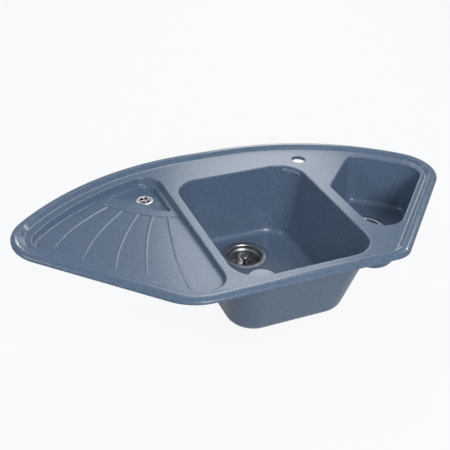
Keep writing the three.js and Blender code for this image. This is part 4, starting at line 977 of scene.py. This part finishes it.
# Chrome, plated over brushed brass: bright but soft, with the faintest unevenness.
chrome, shader = new_material("brass_chrome_plated")
place = node(chrome, "ShaderNodeTexCoord").outputs["Object"]
haze = node(chrome, "ShaderNodeTexNoise", {"Scale": 1 / (6 * MM), "Detail": 2.0}, Vector=place)
wire(chrome, node(chrome, "ShaderNodeMapRange", {"3": 0.28, "4": 0.36}, in0=haze.outputs["Fac"]).outputs[0],
     shader, "Roughness")
wire(chrome, ramp(chrome, haze.outputs["Fac"], [(0.3, "#c6c9ce"), (0.7, "#d4d6da")]), shader, "Base Color")
shader.inputs["Metallic"].default_value = 1


def well_grate(name):
    inner = GRATE_TUBE_RADIUS - GRATE_WALL
    piece = turned(name, [
        (inner, GRATE_TUBE_BOTTOM, 0.3), (GRATE_TUBE_RADIUS, GRATE_TUBE_BOTTOM, 0.3),
        (GRATE_TUBE_RADIUS, 1, 0), (GRATE_RADIUS, 1, 0.3),
        (GRATE_RADIUS - 0.5, 2.2, 0.6), (GRATE_RADIUS - 2.4, 2.8, 0.8), (inner + 1.5, 2.8, 0.8),
        (inner, 1.4, 0.8),
    ], sharp=0)
    length = inner + 0.8
    bars = [solid(f"{name}_bar_{i}", [
        [Vector((x * reach + y * (1 - reach), y * reach + x * (1 - reach), z))
         for x, y in ((-length, -w), (length, -w), (length, w), (-length, w))]
        for z, w in ((0.1, 1.6), (1.4, 1.6), (1.9, 1.1))]) for i, reach in enumerate((1, 0))]
    bars[1].data.flip_normals()
    return smoothed(carved(piece, joined=bars))


def well_nut(name):
    hexagon = [facing(60 * i) for i in range(6)]
    piece = solid(name, [[Vector((p.x * r, p.y * r, z)) for p in hexagon] for r, z in (
        (22.6, WELL_NUT_TOP - 8), (23.9, WELL_NUT_TOP - 7.2),
        (23.9, WELL_NUT_TOP - 0.8), (22.6, WELL_NUT_TOP))])
    bore = rod(f"{name}_bore", WELL_BORE, WELL_NUT_TOP - 9, WELL_NUT_TOP + 1, steps=64)
    return smoothed(carved(piece, removed=[bore]))


def well_tail(name):
    outer, inner = WELL_BORE + 3, WELL_BORE
    end = WELL_TAIL_FLOOR - 20
    return turned(name, [
        (6, end, 0.3), (7.2, end, 0.3), (8, end + 2.5, 0.3), (7.3, end + 3.2, 0.3), (8, end + 6.5, 0.3),
        (7.3, end + 7.2, 0.3), (7.5, WELL_TAIL_FLOOR - 3, 1.5), (outer, WELL_TAIL_FLOOR, 2),
        (outer, WELL_TAIL_TOP, 0.6), (inner, WELL_TAIL_TOP, 0.4), (inner, WELL_TAIL_FLOOR + 3, 1),
        (6, WELL_TAIL_FLOOR, 1)])


well_place = (WELL_DRAIN.x, WELL_DRAIN.y, well_seat)
for piece, material, slot, cad_node in (
    (well_grate("drainer_grate"), chrome, "chrome", "well_grate"),
    (tube("grate_gasket", WELL_BORE, GRATE_RADIUS - 1, 0, 1, 0.3), rubber, "rubber", "well_upper_gasket"),
    (tube("nut_gasket", WELL_BORE, 22, WELL_NUT_TOP, -WALL, 0.6), rubber, "rubber", "well_lower_gasket"),
    (well_nut("grate_nut"), polypropylene, "white_plastic", "well_clamp_nut"),
    (well_tail("grate_tail"), polypropylene, "white_plastic", "well_outlet_tail"),
):
    put(piece, well_place, material, "sink", cad_node)

# ---------------------------------------------------------------- the overflow
# Behind a slotted cover, high in the main bowl's back corner, a slot lets water out into a moulded funnel.
# Two screws hold the cover, the wall, a gasket and the funnel together.

COVER_INNER = POCKET_RADIUS - 2
SCREW_HEIGHT = (SLOT_BOTTOM + SLOT_TOP) / 2
SCREW_ANGLES = {"right": 21.0, "left": 60.0}
GASKET_INNER, GASKET_OUTER = 70.8, 73.3
FUNNEL_INNER, FUNNEL_OUTER = 73.6, 83.6

# ABS, injection moulded and left satin, in a paler tone of the sink.
abs_plastic, shader = new_material("abs_moulded_satin")
place = node(abs_plastic, "ShaderNodeTexCoord").outputs["Object"]
grain = node(abs_plastic, "ShaderNodeTexNoise", {"Scale": 1 / (0.6 * MM), "Detail": 2.0}, Vector=place)
wire(abs_plastic, ramp(abs_plastic, grain.outputs["Fac"], [(0.3, "#7286a0"), (0.7, "#8396ae")]), shader,
     "Base Color")
bump = node(abs_plastic, "ShaderNodeBump", {"Strength": 0.2, "Distance": 0.05 * MM},
            Height=grain.outputs["Fac"])
wire(abs_plastic, bump.outputs["Normal"], shader, "Normal")
shader.inputs["Roughness"].default_value = 0.35


def beam(name, radius, start, end, angle, height, steps=24):
    """A round bar that points away from the overflow's axis."""
    piece = rod(name, radius, start, end, steps=steps)
    turn = Matrix.Rotation(radians(angle), 4, "Z") @ Matrix.Rotation(pi / 2, 4, "Y")
    piece.data.transform(Matrix.Translation((OVERFLOW_AXIS + Vector((0, 0, height))) * MM) @ turn)
    return piece


def screw_holes(name):
    return [beam(f"{name}_{side}", 2.1, 50, 81.5, angle, SCREW_HEIGHT)
            for side, angle in SCREW_ANGLES.items()]


cover = sector("overflow_grille", COVER_INNER, POCKET_RADIUS, OVERFLOW_FROM, OVERFLOW_TO, COVER_BOTTOM,
               COVER_TOP, soft=0.5)
SLITS = 7
slit_places = [SLOT_FROM + (SLOT_TO - SLOT_FROM) / SLITS * (i + 0.5) for i in range(SLITS)]
slits = [sector(f"slit_{i}", 50, 66, angle - 1, angle + 1, SLOT_BOTTOM - 0.5, SLOT_TOP + 0.5, steps=2)
         for i, angle in enumerate(slit_places)]
smoothed(carved(cover, removed=[*slits, *screw_holes("cover_hole")]))
pad = sector("overflow_pad", GASKET_INNER, GASKET_OUTER, LAND_FROM, LAND_TO, FUNNEL_BOTTOM, FUNNEL_TOP,
             soft=0.4)
smoothed(carved(pad, removed=[
    sector("pad_window", 65, 80, SLOT_FROM, SLOT_TO, SLOT_BOTTOM, SLOT_TOP), *screw_holes("pad_hole")]))
funnel = sector("overflow_duct", FUNNEL_INNER, FUNNEL_OUTER, LAND_FROM, LAND_TO, FUNNEL_BOTTOM, FUNNEL_TOP,
                soft=1)
spigot_way = facing(LAND_FROM + 9) * (FUNNEL_INNER + 8)
spigot_centre = (OVERFLOW_AXIS.x + spigot_way.x, OVERFLOW_AXIS.y + spigot_way.y)
spigot_top = SCREW_HEIGHT - 4
spigot = rod("duct_spigot", 8, FUNNEL_BOTTOM - 26, spigot_top, spigot_centre)
bead = rod("duct_bead", 8, FUNNEL_BOTTOM - 25, FUNNEL_BOTTOM - 22, spigot_centre)
smoothed(carved(funnel, joined=[spigot, bead], removed=[
    sector("duct_room", 68, FUNNEL_OUTER - 2.5, SLOT_FROM + 1, SLOT_TO - 1, FUNNEL_BOTTOM + 2.5, SLOT_TOP),
    rod("duct_bore", 6, FUNNEL_BOTTOM - 27, spigot_top - 2, spigot_centre),
    *screw_holes("duct_hole")]))
for piece, material, slot, cad_node in (
    (cover, abs_plastic, "blue_plastic", "overflow_cover"),
    (pad, rubber, "rubber", "overflow_gasket"),
    (funnel, polypropylene, "white_plastic", "overflow_funnel"),
):
    put(piece, (0, 0, 0), material, "sink", cad_node)

for side, angle in SCREW_ANGLES.items():
    head = COVER_INNER - 0.3
    screw = turned(f"cover_screw_{side}", [
        (0, head - 1.4, 0), (2, head - 1.4, 0.5), (2.8, head - 0.6, 0.4), (2.8, head, 0), (1.8, head, 0),
        (1.8, head + 20, 0), (0.4, head + 22, 0), (0, head + 22, 0)], steps=32, sharp=0)
    cross = [solid(f"cross_{side}_{i}", [
        [Vector((x, y, z)) for x, y in ((-a, -b), (a, -b), (a, b), (-a, b))]
        for z in (head - 2, head - 0.8)]) for i, (a, b) in enumerate(((1.5, 0.3), (0.3, 1.5)))]
    smoothed(carved(screw, removed=cross))
    turn = Matrix.Rotation(radians(angle), 4, "Z") @ Matrix.Rotation(pi / 2, 4, "Y")
    screw.data.transform(turn)
    put(screw, OVERFLOW_AXIS + Vector((0, 0, SCREW_HEIGHT)), stainless, "sink",
        f"overflow_screw_{side}")

# ---------------------------------------------------------------- the round label on the main bowl's floor
# A plain disc of pale vinyl, cut from sheet and stuck to the bowl's floor ahead of the drain. It is bare.

vinyl, shader = new_material("vinyl_sheet_calendered")
place = node(vinyl, "ShaderNodeTexCoord").outputs["Object"]
fibre = node(vinyl, "ShaderNodeTexNoise", {"Scale": 1 / (3 * MM), "Detail": 3.0}, Vector=place)
wire(vinyl, ramp(vinyl, fibre.outputs["Fac"], [(0.3, "#cdd4e4"), (0.7, "#d8deea")]), shader, "Base Color")
shader.inputs["Roughness"].default_value = 0.5

LABEL_RADIUS = 35
LABEL_THICKNESS = 0.4
LABEL_AHEAD = 104  # of the drain's centre
label = turned("floor_disc", [
    (0, 0, 0), (LABEL_RADIUS, 0, 0.1), (LABEL_RADIUS, LABEL_THICKNESS, 0.15), (0, LABEL_THICKNESS, 0)])
label_place = (MAIN_DRAIN.x, MAIN_DRAIN.y - LABEL_AHEAD, main_floor)
put(label, label_place, vinyl, "sink", "bowl_label")

# ---------------------------------------------------------------- the floor, the lamps and the world
# A plain white studio. The floor and the world look white to the camera, show at part strength in shiny
# surfaces, and light the sink only a little; soft lamps do the rest.

FLOOR_DROP = 1.5 * MM
floor_height = cad_box[0][2] - FLOOR_DROP
MIRRORED = 0.3  # how much of the white shows in reflections and through glass
FLOOR_WHITE = 0.93  # the rest of the floor is paint, which keeps the sink's shadow


def white_share(backdrop):
    """How much of the studio's white a ray sees: all of it from the camera, less in reflections."""
    path = node(backdrop, "ShaderNodeLightPath")
    bounced = node(backdrop, "ShaderNodeMath", {"operation": "MAXIMUM"}, in0=path.outputs["Is Glossy Ray"],
                   in1=path.outputs["Is Transmission Ray"])
    mirrored = node(backdrop, "ShaderNodeMath", {"operation": "MULTIPLY", "1": MIRRORED},
                    in0=bounced.outputs[0])
    return node(backdrop, "ShaderNodeMath", {"operation": "MAXIMUM"}, in0=path.outputs["Is Camera Ray"],
                in1=mirrored.outputs[0]).outputs[0]


studio, shader = new_material("studio_floor_painted")
shader.inputs["Base Color"].default_value = linear("#b9bcc1")
shader.inputs["Roughness"].default_value = 0.9
glow = node(studio, "ShaderNodeEmission", {"Strength": 1.0})
glow.inputs["Color"].default_value = linear("#fdfeff")
share = node(studio, "ShaderNodeMath", {"operation": "MULTIPLY", "1": FLOOR_WHITE},
             in0=white_share(studio))
both = node(studio, "ShaderNodeMixShader", in0=share.outputs[0], in1=shader.outputs["BSDF"],
            in2=glow.outputs["Emission"])
output = next(n for n in studio.node_tree.nodes if n.type == "OUTPUT_MATERIAL")
studio.node_tree.links.new(both.outputs[0], output.inputs["Surface"])

REACH = 12  # metres
floor_mesh = bpy.data.meshes.new("studio_floor")
floor_mesh.from_pydata([(-REACH, -REACH, floor_height), (REACH, -REACH, floor_height),
                        (REACH, REACH, floor_height), (-REACH, REACH, floor_height)], [], [(0, 1, 2, 3)])
floor = bpy.data.objects.new("studio_floor", floor_mesh)
bpy.context.collection.objects.link(floor)
floor.data.materials.append(studio)

AIM = Vector((0, 0.28, -0.02))  # metres
LAMPS = {
    # name: (degrees round from straight back, degrees up, distance m, size m, watts)
    "back": (28, 32, 3.2, 1.2, 12),
    "back_high": (28, 52, 3.2, 1.0, 20),
    "back_low": (28, 12, 3.2, 1.0, 7.5),
    "ribs_right": (70, 34, 3.2, 0.35, 9),
    "ribs_left": (-18, 34, 3.2, 0.3, 7),
    "left": (-80, 38, 3.2, 1.2, 25),
    "front": (178, 35, 3.2, 1.3, 77),
    "front_high": (178, 58, 3.2, 1.3, 16),
}
for name, (turn, rise, distance, size, watts) in LAMPS.items():
    way = Vector((sin(radians(turn)) * cos(radians(rise)), cos(radians(turn)) * cos(radians(rise)),
                  sin(radians(rise))))
    data = bpy.data.lights.new(name, "AREA")
    data.shape = "DISK"
    data.size = size
    data.energy = watts
    lamp = bpy.data.objects.new(name, data)
    bpy.context.collection.objects.link(lamp)
    lamp.location = AIM + way * distance
    lamp.rotation_euler = (-way).to_track_quat("-Z", "Y").to_euler()

world = bpy.data.worlds.new("studio")
bpy.context.scene.world = world
world.use_nodes = True
world.node_tree.nodes.clear()
around = node(world, "ShaderNodeBackground", {"Strength": 0.08})
around.inputs["Color"].default_value = linear("#eef2f8")
white = node(world, "ShaderNodeBackground", {"Strength": 1.0})
white.inputs["Color"].default_value = linear("#f8f9fe")
height = node(world, "ShaderNodeSeparateXYZ", Vector=node(world, "ShaderNodeTexCoord").outputs["Generated"])
sweep = node(world, "ShaderNodeMapRange", {"1": 0.25, "2": 0.5, "3": 1.0, "4": 0.0}, in0=height.outputs["Z"])
shown = node(world, "ShaderNodeMixShader", in0=sweep.outputs[0], in1=around.outputs[0], in2=white.outputs[0])
chosen = node(world, "ShaderNodeMixShader", in0=white_share(world), in1=around.outputs[0],
              in2=shown.outputs[0])
node(world, "ShaderNodeOutputWorld", Surface=chosen.outputs[0])

bpy.context.scene.view_settings.view_transform = "Standard"
